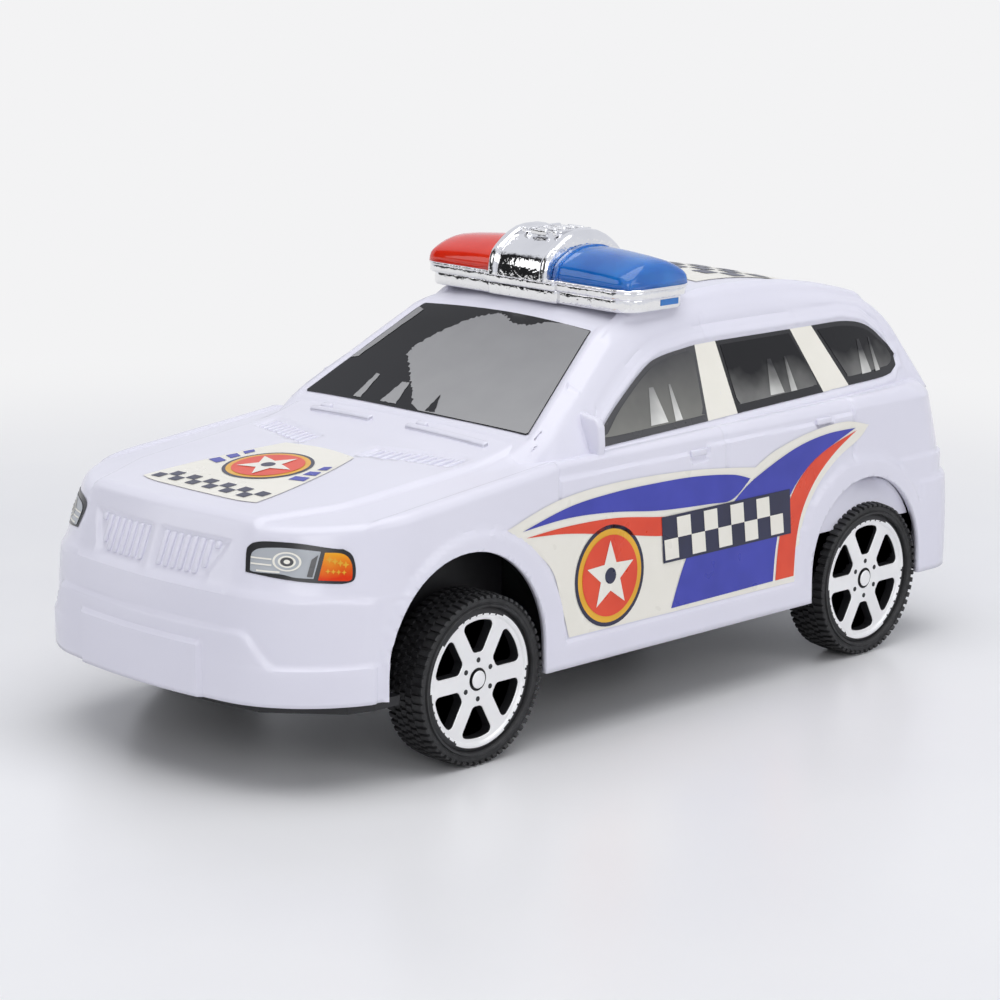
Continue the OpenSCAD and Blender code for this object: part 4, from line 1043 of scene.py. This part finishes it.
def arch_points(reach, rise, y):
    return [(BAR_X + reach * s, y, TRAY_TOP + rise * t) for s, t in ARCH]


def hoop(bm, reach, rise, low, high, roll):
    part = pushed([(x, y, z - 0.4) for x, y, z in arch_points(reach, rise + 0.4, low)],
                  (0.0, high - low, 0.0))
    rims = [e for e in part.edges
            if e.calc_face_angle(0.0) > 1.0 and max(v.co.z for v in e.verts) > TRAY_TOP]
    roll_edges(part, rims, roll)
    join(bm, part)


def tier(bm, reach, half_width, low, high, roll, rim):
    slab(bm, (BAR_X - reach, -half_width, TRAY_LOW + low), (BAR_X + reach, half_width, TRAY_LOW + high),
         roll, rim)


print("light bar %.1f by %.1f mm, its tray's top at %.1f" % (2 * BAR_L, 2 * BAR_W, TRAY_TOP))

# %% Plated tray and middle housing
tray = bmesh.new()
for inset, low, high, rim in ((1.1, 0.0, 3.0, 0.5), (0.2, 2.9, 4.7, 0.35), (0.0, 4.5, 5.3, 0.38)):
    tier(tray, BAR_L - inset, BAR_W - inset, low, high, 5.6 - inset / 2, rim)
for inset, low, high in ((0.2, 0.1, 3.0), (-0.7, 2.9, 4.7), (-0.9, 4.5, 5.4)):
    tier(tray, BAR_L - inset, HUMP + 1.4, low, high, 0.7, 0.3)
for side in (-1, 1):
    low, high = sorted((side * (HUMP - 2.6), side * HUMP))
    hoop(tray, BAR_L + 1.9, HUMP_TOP - TRAY_TOP, low, high, 1.1)
    slab(tray, (BAR_X - 6.0, side * 4.6 - 0.5, HUMP_TOP - 1.5),
         (BAR_X + 6.0, side * 4.6 + 0.5, HUMP_TOP - 0.3), 0.4, 0.2)
hoop(tray, BAR_L + 1.1, HUMP_TOP - TRAY_TOP - 0.9, -HUMP + 1.7, HUMP - 1.7, 0.2)
for k in range(-3, 4):
    x, ends = BAR_X + 2.0 * k, (-2.6 + 0.5 * (k % 2), 2.6 - 0.9 * (k % 3))
    slab(tray, (x - 0.5, ends[0], HUMP_TOP - 1.5), (x + 0.5, ends[1], HUMP_TOP - 0.35), 0.4, 0.2)
hand_over("light_bar_piece", tray, "car", ["light_bar_base"], [plated], 28.0)

# %% Lenses
LENS_RISE = lens_high[2] - TRAY_TOP
LENS_STATIONS = ((HUMP + 0.3, 0.985, 1.0), (HUMP + 1.5, 0.985, 1.0), (HUMP + 1.6, 0.95, 0.955),
                 (HUMP + 6.0, 0.95, 0.95),
                 (18.0, 0.95, 0.93), (24.0, 0.945, 0.86), (27.6, 0.935, 0.8), (29.2, 0.91, 0.73),
                 (30.1, 0.87, 0.63), (30.6, 0.81, 0.47))
for side, name, glass, slot_name in ((1, "lens_left", blue_ps, "blue_lens"),
                                     (-1, "lens_right", red_ps, "red_lens")):
    cover = bmesh.new()
    y, reach, rise = LENS_STATIONS[0]
    verts = [cover.verts.new(p) for p in arch_points(reach * BAR_L, rise * LENS_RISE, y)]
    line = [cover.edges.new(pair) for pair in zip(verts, verts[1:])]
    for y, reach, rise in LENS_STATIONS[1:]:
        drawn = bmesh.ops.extrude_edge_only(cover, edges=line)["geom"]
        line = [e for e in drawn if isinstance(e, bmesh.types.BMEdge)]
        ends = sorted((v for v in drawn if isinstance(v, bmesh.types.BMVert)), key=lambda v: -v.co.x)
        for v, p in zip(ends, arch_points(reach * BAR_L, rise * LENS_RISE, y)):
            v.co = p
    cover.faces.new(ends)
    slab(cover, (BAR_X - 6.2, BAR_W - 4.0, TRAY_LOW + 1.0), (BAR_X - 0.2, BAR_W - 0.95, TRAY_LOW + 2.4),
         0.2, 0.1)
    if side < 0:
        bmesh.ops.scale(cover, vec=(1, -1, 1), verts=cover.verts)
    made = hand_over(name + "_piece", cover, "car", [name], [glass], 40.0)
    thicken(made, LENS_WALL, -1.0)

# %% [markdown]
# ## Laying a sticker
# A sticker starts as a flat outline: a few smooth runs that meet in corners, each from the end of
# the one before. It is cut by a grid of planes, so it can bend, and each point is then moved along
# one direction until it lies a set height over the skin. Ink layers lie a little higher.


# %% Outlines and draped sheets
def run(points, cuts=8):
    p = np.array([points[0]] + list(points) + [points[-1]], dtype=float)
    if len(points) == 2:
        return [tuple(points[0])]
    made = []
    for a, b, c, d in zip(p, p[1:], p[2:], p[3:]):
        for t in np.arange(cuts) / cuts:
            made.append(tuple(0.5 * (2 * b + (c - a) * t + (2 * a - 5 * b + 4 * c - d) * t * t
                                     + (3 * b - a - 3 * c + d) * t ** 3)))
    return made


def outline(*runs):
    made, last = [], []
    for points in runs:
        made += run(last + points)
        last = points[-1:]
    return made


def circle(u, v, radius, points=48):
    return [(u + radius * math.cos(2 * math.pi * k / points),
             v + radius * math.sin(2 * math.pi * k / points))
            for k in range(points)]


def star(u, v, radius, tips=5, turn=math.pi / 2, waist=0.42):
    made = []
    for k in range(2 * tips):
        r, angle = radius * (waist if k % 2 else 1.0), turn + math.pi * k / tips
        made.append((u + r * math.cos(angle), v + r * math.sin(angle)))
    return made


class Layer:
    """Where a sheet lies: a skin, an origin, two flat directions and the one it is pressed from."""

    def __init__(self, skin, origin, u, v, out):
        self.skin, self.origin = skin, np.array(origin, float)
        self.u, self.v, self.out = (np.array(w, float) / np.linalg.norm(w) for w in (u, v, out))

    def lay(self, bm, shape, height, index, grid=5.0):
        part = bmesh.new()
        part.faces.new([part.verts.new((a, b, 0.0)) for a, b in shape])
        flat = places(part)
        for axis, way in enumerate(((1.0, 0.0, 0.0), (0.0, 1.0, 0.0))):
            for mark in np.arange(flat[:, axis].min() + grid, flat[:, axis].max(), grid):
                bmesh.ops.bisect_plane(part, geom=part.verts[:] + part.edges[:] + part.faces[:],
                                       plane_co=[mark * w for w in way], plane_no=way)
        flat = places(part)
        p = self.origin + flat[:, :1] * self.u + flat[:, 1:2] * self.v
        for _ in range(12):
            grip = np.maximum((slope(self.skin, p) * self.out).sum(1), 0.25)
            p = p - ((self.skin(p) - height) / grip)[:, None] * self.out
        put(part, p)
        part.normal_update()
        if sum(f.normal.dot(Vector(self.out)) for f in part.faces) < 0:
            bmesh.ops.reverse_faces(part, faces=part.faces)
        for f in part.faces:
            f.material_index = index
        join(bm, part)


def stick(name, bm, node_name, finishes):
    hand_over(name, bm, "car", [node_name], finishes, 60.0, outward=False)


def checks(layer, bm, at, along, up, counts, height, index):
    at, along, up = (np.array(w) for w in (at, along, up))
    for k in range(counts[0]):
        for row in range(counts[1]):
            if (k + row) % 2 == 0:
                low = at + k * along + row * up
                layer.lay(bm, [low, low + along, low + along + up, low + up], height, index)


STOCK, INK, OVER, TOPMOST = 0.16, 0.26, 0.36, 0.46
print("layers lie at", STOCK, INK, OVER, TOPMOST, "mm")

# %% [markdown]
# ## Door stickers
# The long door sticker is a cream panel between the wheel arches. A blue sweep and an orange-red
# stripe run along its upper edge to a tail over the rear wheel, and a blue panel with a red edge
# closes it at the back. A star badge and a band of checks fill the middle.

# %% Door stickers
EDGE_TOP = [(49.5, 47.7), (34.3, 51.7), (16.5, 53.0), (-5.8, 52.4), (-21.2, 51.0), (-30.0, 49.9)]
EDGE_TAIL = [(-37.2, 52.8), (-49.5, 55.3), (-62.1, 56.1), (-71.1, 54.3)]
EDGE_REAR = [(-67.5, 51.5), (-60.2, 48.3), (-53.7, 43.9), (-48.6, 38.0), (-46.1, 31.8), (-45.2, 23.7),
             (-45.8, 21.8)]
EDGE_FRONT = [(33.2, 29.2), (35.9, 36.9), (41.4, 42.2), (47.5, 46.5), (49.5, 47.7)]
door_panel = outline(EDGE_TOP, EDGE_TAIL, EDGE_REAR, [(31.1, 22.2)], EDGE_FRONT)
blue_sweep = outline([(45.0, 46.8), (31.0, 49.9), (17.0, 51.0), (3.0, 51.1), (-9.8, 50.7), (-22.0, 49.4),
                      (-28.2, 47.7)], [(-22.0, 43.9), (-14.0, 44.0), (2.5, 45.0), (17.0, 46.8),
                                       (31.0, 47.6), (45.0, 46.8)])
blue_blade = outline([(-22.6, 43.4), (-29.6, 47.4), (-43.5, 52.2), (-55.0, 54.1), (-66.0, 54.2)],
                     [(-52.4, 49.4), (-44.6, 44.4), (-39.6, 37.8), (-37.4, 31.0), (-36.4, 23.2)],
                     [(-1.5, 22.9)], [(-6.0, 32.4), (-11.0, 38.0), (-22.6, 43.4)])
red_stripe = outline([(44.0, 45.3), (31.9, 45.9), (17.0, 45.5), (2.4, 43.6), (-8.0, 42.4)], [(-10.0, 38.4)],
                     [(2.2, 39.4), (17.0, 42.0), (31.9, 44.4), (44.0, 45.3)])
red_edge = outline([(-66.5, 53.6), (-58.6, 49.6), (-51.9, 44.6), (-47.2, 38.6), (-44.8, 32.0),
                    (-43.8, 23.2)], [(-37.3, 23.2)], [(-38.3, 31.2), (-40.6, 38.2), (-45.6, 45.0),
                                                      (-53.2, 49.9), (-66.5, 53.6)])
CHECK, CHECKS, CHECK_EDGE = 4.5, (0.6, 33.8), 0.6
PRINT_INKS = [cream_stock, blue_ink, red_ink, navy_ink, gold_ink]
BADGE = ((circle, 1.0, INK, 3), (circle, 0.92, INK + 0.02, 4), (circle, 0.80, OVER, 2),
         (star, 0.70, TOPMOST, 0), (circle, 0.16, TOPMOST + 0.03, 3))


def badge(layer, bm, u, v, size):
    for shape, share, height, tint in BADGE:
        layer.lay(bm, shape(u, v, size * share), height, tint)


def door_plane(p):
    return np.abs(p[:, 1]) - (DOOR - DOOR_LEAN * (p[:, 2] - SILL))


for side, name in ((1, "side_sticker_left"), (-1, "side_sticker_right")):
    door = Layer(door_plane, (0.0, side * 49.0, 0.0), (1, 0, 0), (0, 0, 1), (0, side, 0))
    print_sheet = bmesh.new()
    door.lay(print_sheet, door_panel, STOCK, 0)
    for shape, tint in ((red_stripe, 2), (blue_sweep, 1), (red_edge, 2), (blue_blade, 1)):
        door.lay(print_sheet, shape, INK, tint)
    badge(door, print_sheet, 18.4, 33.4, 10.9)
    u, v = CHECKS
    low, high, back = v - CHECK_EDGE, v + 2 * CHECK + CHECK_EDGE, u - 9.6 * CHECK
    dark_band = [(u + CHECK_EDGE, low), (back, low), (back + CHECK_EDGE, high), (u + 2 * CHECK_EDGE, high)]
    door.lay(print_sheet, dark_band, OVER, 3)
    checks(door, print_sheet, CHECKS, (-CHECK, 0.0), (0.1 * CHECK, CHECK), (9, 2), TOPMOST, 0)
    stick("door_print" + name[12:], print_sheet, name, PRINT_INKS)

# %% [markdown]
# ## Bonnet, roof and windows
# The bonnet carries the same star badge, the roof a band of checks. The windscreen and rear window
# are black film; the side windows are grey prints in dark frames, parted by two cream pillars.

# %% Bonnet and roof prints
lid = Layer(lower_body, (0.0, 0.0, 70.0), (1, 0, 0), (0, 1, 0), (0, 0, 1))
print_sheet = bmesh.new()
lid.lay(print_sheet, outline([(95.2, 0.0), (94.8, 12.0), (93.4, 17.4)],
                             [(84.0, 16.4), (70.0, 13.6), (60.0, 10.5)], [(58.6, 0.0), (60.0, -10.5)],
                             [(70.0, -13.6), (84.0, -16.4), (93.4, -17.4)], [(94.8, -12.0), (95.2, 0.0)]),
        STOCK, 0)
SMALL_CHECK, WING_STEP = 2.6, 4.0
checks(lid, print_sheet, (92.8, -15.6), (-SMALL_CHECK, 0.0), (0.0, SMALL_CHECK), (2, 12), INK, 3)
badge(lid, print_sheet, 74.5, 0.0, 9.6)
for side in (-1, 1):
    for k in range(3):
        wing = [(79.0, 11.0), (78.0, 14.6 - 0.9 * k), (75.6, 13.8 - 0.9 * k), (76.6, 10.6)]
        lid.lay(print_sheet, [(u - WING_STEP * k, side * v) for u, v in wing], INK, 1)
stick("bonnet_print", print_sheet, "bonnet_sticker", PRINT_INKS)

over = Layer(cabin, (0.0, 0.0, 95.0), (1, 0, 0), (0, 1, 0), (0, 0, 1))
print_sheet = bmesh.new()
over.lay(print_sheet, [(-38.0, -19.0), (-38.0, 19.0), (-77.0, 19.0), (-77.0, -19.0)], STOCK, 0)
checks(over, print_sheet, (-48.0, -18.0), (-CHECK, 0.0), (0.0, CHECK), (4, 8), INK, 1)
stick("roof_print", print_sheet, "roof_sticker", [cream_stock, navy_ink])


# %% Windscreen and rear window
def ragged(points, size, cuts=9):
    made = []
    for k, (a, b) in enumerate(zip(points, points[1:])):
        a, b = np.array(a), np.array(b)
        across = np.array([b[1] - a[1], a[0] - b[0]]) / np.linalg.norm(b - a)
        for j in range(cuts):
            sway = size * math.sin(2.7 * j + 1.9 * k) * math.cos(5.1 * j + k)
            made.append(tuple(a + (b - a) * j / cuts + across * sway))
    return made


print_sheet = bmesh.new()
over.lay(print_sheet, outline([(32.7, -33.4), (33.3, 0.0), (32.7, 33.4)], [(32.3, 33.8)], [(4.3, 25.4)],
                              [(4.0, 25.0)], [(3.4, 0.0), (4.0, -25.0)], [(4.3, -25.4)], [(32.3, -33.8)],
                              [(32.7, -33.4)]), STOCK, 0, 3.0)
GLARE = ragged([(4.4, 13.0), (6.2, 9.0), (6.6, 4.5), (4.9, 1.0), (4.4, -1.5), (5.8, -5.5), (7.4, -8.3),
                (12.2, -13.0), (16.7, -15.8),
                (19.2, -15.5), (22.7, -11.2), (25.7, -7.8), (28.5, -4.5), (32.5, -0.3)], 0.35)
over.lay(print_sheet, [(4.3, 25.2), (3.9, 17.0)] + GLARE + [(33.1, 2.0), (33.0, 16.0), (32.5, 33.2),
                                                            (32.1, 33.6)], INK, 1, 3.0)
SLIVERS = (([(32.4, -18.8), (32.5, -16.5), (25.7, -17.4), (25.5, -18.6)], 0.15),
           ([(32.5, -10.3), (32.6, -5.4), (26.6, -7.2), (26.7, -9.3)], 0.15),
           ([(22.1, -30.4), (21.6, -28.6), (6.4, -23.4), (5.6, -25.4)], 0.12))
for sliver, size in SLIVERS:
    over.lay(print_sheet, ragged(sliver + sliver[:1], size), INK, 1, 3.0)
over.lay(print_sheet, ragged([(32.9, 3.9), (32.8, 6.7), (28.2, 3.9), (32.9, 3.9)], 0.12), OVER, 0, 3.0)
stick("screen_print", print_sheet, "windscreen_sticker", [screen_film, screen_glare])
gate = Layer(cabin, (TAIL_FOOT[0] - 6.0, 0.0, TAIL_FOOT[1] + 4.0), (0, 1, 0),
             (math.cos(TAIL_SLOPE), 0, math.sin(TAIL_SLOPE)),
             (-math.sin(TAIL_SLOPE), 0, math.cos(TAIL_SLOPE)))
print_sheet = bmesh.new()
gate.lay(print_sheet, [(-27.0, 0.5), (27.0, 0.5), (22.5, 16.5), (-22.5, 16.5)], STOCK, 0, 3.0)
gate.lay(print_sheet, ragged([(-24.0, 1.6), (-8.0, 1.4), (-14.0, 15.4), (-20.6, 15.6), (-24.0, 1.6)], 0.3),
         INK, 1, 3.0)
stick("rear_window_print", print_sheet, "rear_window_sticker", [screen_film, screen_glare])

# %% Side windows
PANES = (
    outline([(15.8, 59.9), (14.4, 63.5)], [(7.9, 67.5), (-3.4, 73.4), (-9.9, 75.4), (-22.2, 76.6)],
            [(-19.1, 61.0)], [(15.8, 59.9)]),
    [(-29.3, 76.7), (-55.7, 76.6), (-60.6, 62.4), (-29.4, 61.4)],
    outline([(-63.5, 76.6), (-75.5, 76.4), (-83.7, 74.8), (-88.9, 71.1), (-91.5, 67.4)],
            [(-91.1, 65.1), (-88.4, 63.5)], [(-83.6, 63.0), (-70.4, 62.8)], [(-63.5, 76.6)]),
)
GLASS = (
    outline([(13.2, 62.4), (7.2, 66.6), (-3.6, 72.4), (-10.2, 74.5), (-19.0, 75.6), (-20.9, 74.8)],
            [(-18.6, 64.0)], [(-17.6, 62.7), (-16.0, 62.3), (12.4, 61.6), (13.2, 62.4)]),
    outline([(-30.5, 75.8), (-54.8, 75.8)], [(-59.0, 65.4), (-58.0, 64.2), (-56.4, 64.0)],
            [(-33.0, 63.2), (-31.2, 63.4), (-30.5, 64.6)], [(-30.5, 75.8)]),
    outline([(-65.2, 75.6), (-75.0, 75.4), (-83.0, 73.9), (-87.9, 70.6), (-90.2, 67.6), (-89.6, 66.0),
             (-87.6, 65.2)], [(-72.4, 64.6), (-71.0, 65.0)], [(-65.2, 75.6)]),
)
PANE_GRID, BAR_RISE = 2.0, 7.5
BARS = ((-0.5, -6.2, -8.6, -11.0), (-42.0, -47.0, -49.4, -51.6), (-76.6, -80.4, -82.2, -84.0))
PILLARS = ([(-22.2, 76.6), (-29.3, 76.7), (-29.4, 61.4), (-19.1, 61.0)],
           [(-55.7, 76.6), (-63.5, 76.6), (-70.4, 62.8), (-60.6, 62.4)])
for side, name in ((1, "window_sticker_left"), (-1, "window_sticker_right")):
    flank = Layer(cabin, (0.0, side * 46.0, 0.0), (1, 0, 0), (0, 0, 1), (0, side, 0))
    print_sheet = bmesh.new()
    for k, (pane, glass, bars) in enumerate(zip(PANES, GLASS, BARS)):
        flank.lay(print_sheet, pane, STOCK, 0 if k else 5, PANE_GRID)
        flank.lay(print_sheet, glass, INK, 2 if k else 1, PANE_GRID)
        foot = 61.9 + 0.0233 * (13.0 - bars[0]) + (0.6 if k else 0.0)
        for front, back in (bars[:2], bars[2:]):
            narrow = 0.25 * (front - back)
            high = foot + BAR_RISE
            bar = [(front, foot), (back, foot + 0.1), (back + narrow, high), (front - 2 * narrow, high)]
            flank.lay(print_sheet, bar, OVER, 4 if k else 3, PANE_GRID)
    for pillar in PILLARS:
        flank.lay(print_sheet, pillar, STOCK, 6, PANE_GRID)
    stick("window_print" + name[14:], print_sheet, name,
          [black_ink, pane_pale, pane_dark, bar_pale, bar_dark, frame_grey, cream_stock])

# %% [markdown]
# ## Lamps
# The head and tail lamps are prints too. A headlamp wraps the front corner: a black surround, a
# grey lens with one oval reflector and an amber end. The tail lamps are red with a pale square.

# %% Head and tail lamps
LAMP_IN, LAMP_WAY = np.array([106.1, 29.9, 0.0]), np.array([-0.719, 0.695, 0.0])
LAMP_GRID = 1.2
surround = outline([(-1.1, 44.6), (-1.0, 48.3), (-0.5, 49.4), (0.8, 50.2), (3.7, 50.6), (9.5, 50.5),
                    (16.2, 49.6), (17.9, 49.5)], [(19.4, 48.6), (20.1, 47.3), (20.4, 45.6), (20.3, 44.0),
                                                  (19.6, 43.2), (17.7, 42.9)],
                   [(12.5, 43.2), (7.9, 43.6), (2.7, 44.2), (-1.1, 44.6)])
lens_area = outline([(-0.2, 45.0), (-0.1, 47.3), (0.4, 48.5), (2.3, 49.3), (7.2, 49.6), (13.6, 49.1)],
                    [(12.2, 44.0)], [(8.5, 44.2), (5.9, 44.7), (0.9, 44.8), (-0.2, 45.0)])
amber = outline([(14.4, 48.9), (16.8, 48.8), (18.1, 48.5), (19.1, 47.7), (19.7, 46.2), (19.7, 43.9),
                 (19.0, 43.4)], [(13.1, 43.7)], [(14.4, 48.9)])
for side, name in ((1, "left"), (-1, "right")):
    flip = np.array([1.0, side, 1.0])
    head = Layer(lower_body, (LAMP_IN + np.array([3.0, 3.0, 0.0])) * flip, LAMP_WAY * flip, (0, 0, 1),
                 np.array([0.695, 0.719, 0.0]) * flip)
    print_sheet = bmesh.new()
    head.lay(print_sheet, surround, STOCK, 0, LAMP_GRID)
    head.lay(print_sheet, lens_area, INK, 1, LAMP_GRID)
    head.lay(print_sheet, amber, INK, 2, LAMP_GRID)
    for share, height, tint in ((1.0, 0.0, 3), (0.84, 0.03, 1), (0.62, 0.06, 3), (0.46, 0.09, 5),
                                (0.22, 0.12, 3)):
        oval = [(7.0 + 2.85 * share * a, 47.1 + 1.8 * share * b) for a, b in circle(0.0, 0.0, 1.0, 32)]
        head.lay(print_sheet, oval, OVER + height, tint, LAMP_GRID)
    for u, v, long in ((-0.1, 47.3, 4.1), (-0.1, 46.2, 4.1), (1.0, 45.0, 4.6)):
        dash = [(u, v), (u + long, v - 0.05), (u + long, v + 0.25), (u, v + 0.3)]
        head.lay(print_sheet, dash, OVER, 3, LAMP_GRID)
    head.lay(print_sheet, [(10.9, 44.4), (12.0, 44.3), (13.1, 48.5), (11.8, 47.6)], OVER, 5, LAMP_GRID)
    for k in range(4):
        u = 15.0 + 1.05 * k
        head.lay(print_sheet, star(u + 0.3, 47.6 - 0.35 * k, 0.7, 4), OVER, 4, LAMP_GRID)
        head.lay(print_sheet, star(u, 45.4 - 0.1 * k, 0.5, 4), OVER, 4, LAMP_GRID)
    stick("headlamp_print_" + name, print_sheet, "headlamp_sticker_" + name,
          [black_ink, grey_ink, amber_ink, cream_stock, gold_ink, frame_grey])
    rear = Layer(lower_body, (-116.0, side * 33.0, 0.0), (0, -side, 0), (0, 0, 1), (-1, 0, 0))
    print_sheet = bmesh.new()
    rear.lay(print_sheet, [(-4.4, 45.0), (3.0, 45.0), (3.0, 57.0), (-2.8, 57.0)], STOCK, 0, PANE_GRID)
    rear.lay(print_sheet, [(-3.4, 46.0), (2.1, 46.0), (2.1, 49.4), (-3.0, 49.4)], INK, 1, PANE_GRID)
    rear.lay(print_sheet, [(-2.9, 50.0), (2.1, 50.0), (2.1, 52.4), (-2.6, 52.4)], INK, 2, PANE_GRID)
    stick("tail_lamp_print_" + name, print_sheet, "tail_lamp_sticker_" + name,
          [lamp_red, amber_ink, cream_stock])

# %% [markdown]
# ## Floor, light and camera
# The car stands on a pale, slightly glossy sheet that fades to white. One wide softbox hangs
# overhead and three smaller ones stand in front and at the near side; one dark card in the far
# surroundings gives the plated parts something to mirror. The camera is where the photograph
# was taken from.


# %% Floor
FLOOR_HALF, FADE, PAPER_WHITE = 3.0, (0.17, 0.42), "#f3f3f4"


def studio_floor():
    bm = bmesh.new()
    bmesh.ops.create_grid(bm, x_segments=1, y_segments=1, size=FLOOR_HALF)
    mesh = bpy.data.meshes.new("studio_floor")
    bm.to_mesh(mesh)
    bm.free()
    made = bpy.data.objects.new("studio_floor", mesh)
    bpy.context.scene.collection.objects.link(made)
    paper, tree, gloss, place = finish("pale_acrylic_sheet", Roughness=0.3, IOR=1.45)
    tree.links.new(varied(tree, place, 60.0, "#f3f3f4", "#f0f0f2"), gloss.inputs["Base Color"])
    far = node(tree, "ShaderNodeVectorMath", {0: place}, operation="LENGTH")
    near, clear = FADE
    reach = {"Value": far.outputs["Value"], "From Min": near, "From Max": clear}
    pale = node(tree, "ShaderNodeMapRange", reach, interpolation_type="SMOOTHSTEP")
    way = node(tree, "ShaderNodeLightPath")
    looked = node(tree, "ShaderNodeMath", {0: way.outputs["Is Camera Ray"],
                                           1: way.outputs["Is Glossy Ray"]},
                  operation="MAXIMUM")
    passed = node(tree, "ShaderNodeMath", {0: looked.outputs[0], 1: way.outputs["Is Transmission Ray"]},
                  operation="MAXIMUM")
    share = node(tree, "ShaderNodeMath", {0: pale.outputs[0], 1: passed.outputs[0]}, operation="MULTIPLY")
    white = node(tree, "ShaderNodeEmission", {"Color": tone(PAPER_WHITE), "Strength": 1.0})
    swap = node(tree, "ShaderNodeMixShader", {0: share.outputs[0], 1: gloss.outputs[0],
                                              2: white.outputs[0]})
    out = next(n for n in tree.nodes if n.type == "OUTPUT_MATERIAL")
    tree.links.new(swap.outputs[0], out.inputs[0])
    mesh.materials.append(paper)
    print("floor", 2 * FLOOR_HALF, "m wide")


studio_floor()


# %% Lamps and surroundings
LAMP_AIM = Vector((0, 0, 0.05))


def softbox(name, place, size, watts):
    lamp = bpy.data.lights.new(name, "AREA")
    lamp.shape, lamp.size, lamp.size_y, lamp.energy = "RECTANGLE", size[0], size[1], watts
    made = bpy.data.objects.new(name, lamp)
    made.location = place
    made.rotation_euler = (LAMP_AIM - Vector(place)).to_track_quat("-Z", "Y").to_euler()
    bpy.context.scene.collection.objects.link(made)


softbox("overhead", (0.05, 0.15, 1.1), (1.3, 1.0), 7.7)
softbox("front_left", (0.9, 0.9, 0.6), (0.6, 0.5), 2.3)
softbox("front_right", (0.9, -0.7, 0.5), (0.5, 0.5), 1.2)
softbox("near_side", (-0.25, 1.1, 0.5), (0.8, 0.5), 1.7)
world = bpy.data.worlds.new("studio")
bpy.context.scene.world = world
world.use_nodes = True
tree = world.node_tree
tree.nodes.clear()
out = node(tree, "ShaderNodeOutputWorld")
way = node(tree, "ShaderNodeLightPath")
seen = node(tree, "ShaderNodeBackground", {"Color": tone(PAPER_WHITE), "Strength": 1.0})
aim = node(tree, "ShaderNodeTexCoord")
facing = node(tree, "ShaderNodeVectorMath", {0: aim.outputs["Generated"], 1: (0.68, -0.66, 0.32)},
              operation="DOT_PRODUCT")
card = node(tree, "ShaderNodeMapRange", {"Value": facing.outputs["Value"], "From Min": 0.82,
                                         "From Max": 0.93, "To Min": 0.95, "To Max": 0.02},
            interpolation_type="SMOOTHSTEP")
power = node(tree, "ShaderNodeMix", {"Factor": way.outputs["Is Glossy Ray"], "A": 0.42,
                                     "B": card.outputs[0]})
glow = node(tree, "ShaderNodeBackground", {"Color": tone("#e9ebf2"), "Strength": power.outputs[0]})
swap = node(tree, "ShaderNodeMixShader", {0: way.outputs["Is Camera Ray"], 1: glow.outputs[0],
                                          2: seen.outputs[0]})
tree.links.new(swap.outputs[0], out.inputs[0])

# %% Camera of the photograph
AZIMUTH, ELEVATION, ROLL = (math.radians(v) for v in (133.46, 12.40, 1.15))
AIM, DISTANCE = Vector((4.81, 0.0, 40.21)) * MM, 699.6 * MM
FOCAL, SENSOR = 112.87, 36.0
back = Vector((math.sin(AZIMUTH) * math.cos(ELEVATION), -math.cos(AZIMUTH) * math.cos(ELEVATION),
               math.sin(ELEVATION)))
level = (-back).cross(Vector((0, 0, 1))).normalized()
upright = level.cross(-back)
right = math.cos(ROLL) * level + math.sin(ROLL) * upright
upward = -math.sin(ROLL) * level + math.cos(ROLL) * upright
lens = bpy.data.cameras.new("photograph")
lens.lens, lens.sensor_width, lens.clip_start = FOCAL, SENSOR, 0.05
eye = bpy.data.objects.new("photograph", lens)
eye.matrix_world = Matrix.Translation(AIM + back * DISTANCE) @ Matrix((right, upward,
                                                                       back)).transposed().to_4x4()
bpy.context.scene.collection.objects.link(eye)
bpy.context.scene.camera = eye
bpy.context.scene.view_settings.view_transform = "Standard"
print("camera at", [round(v, 3) for v in eye.matrix_world.translation])
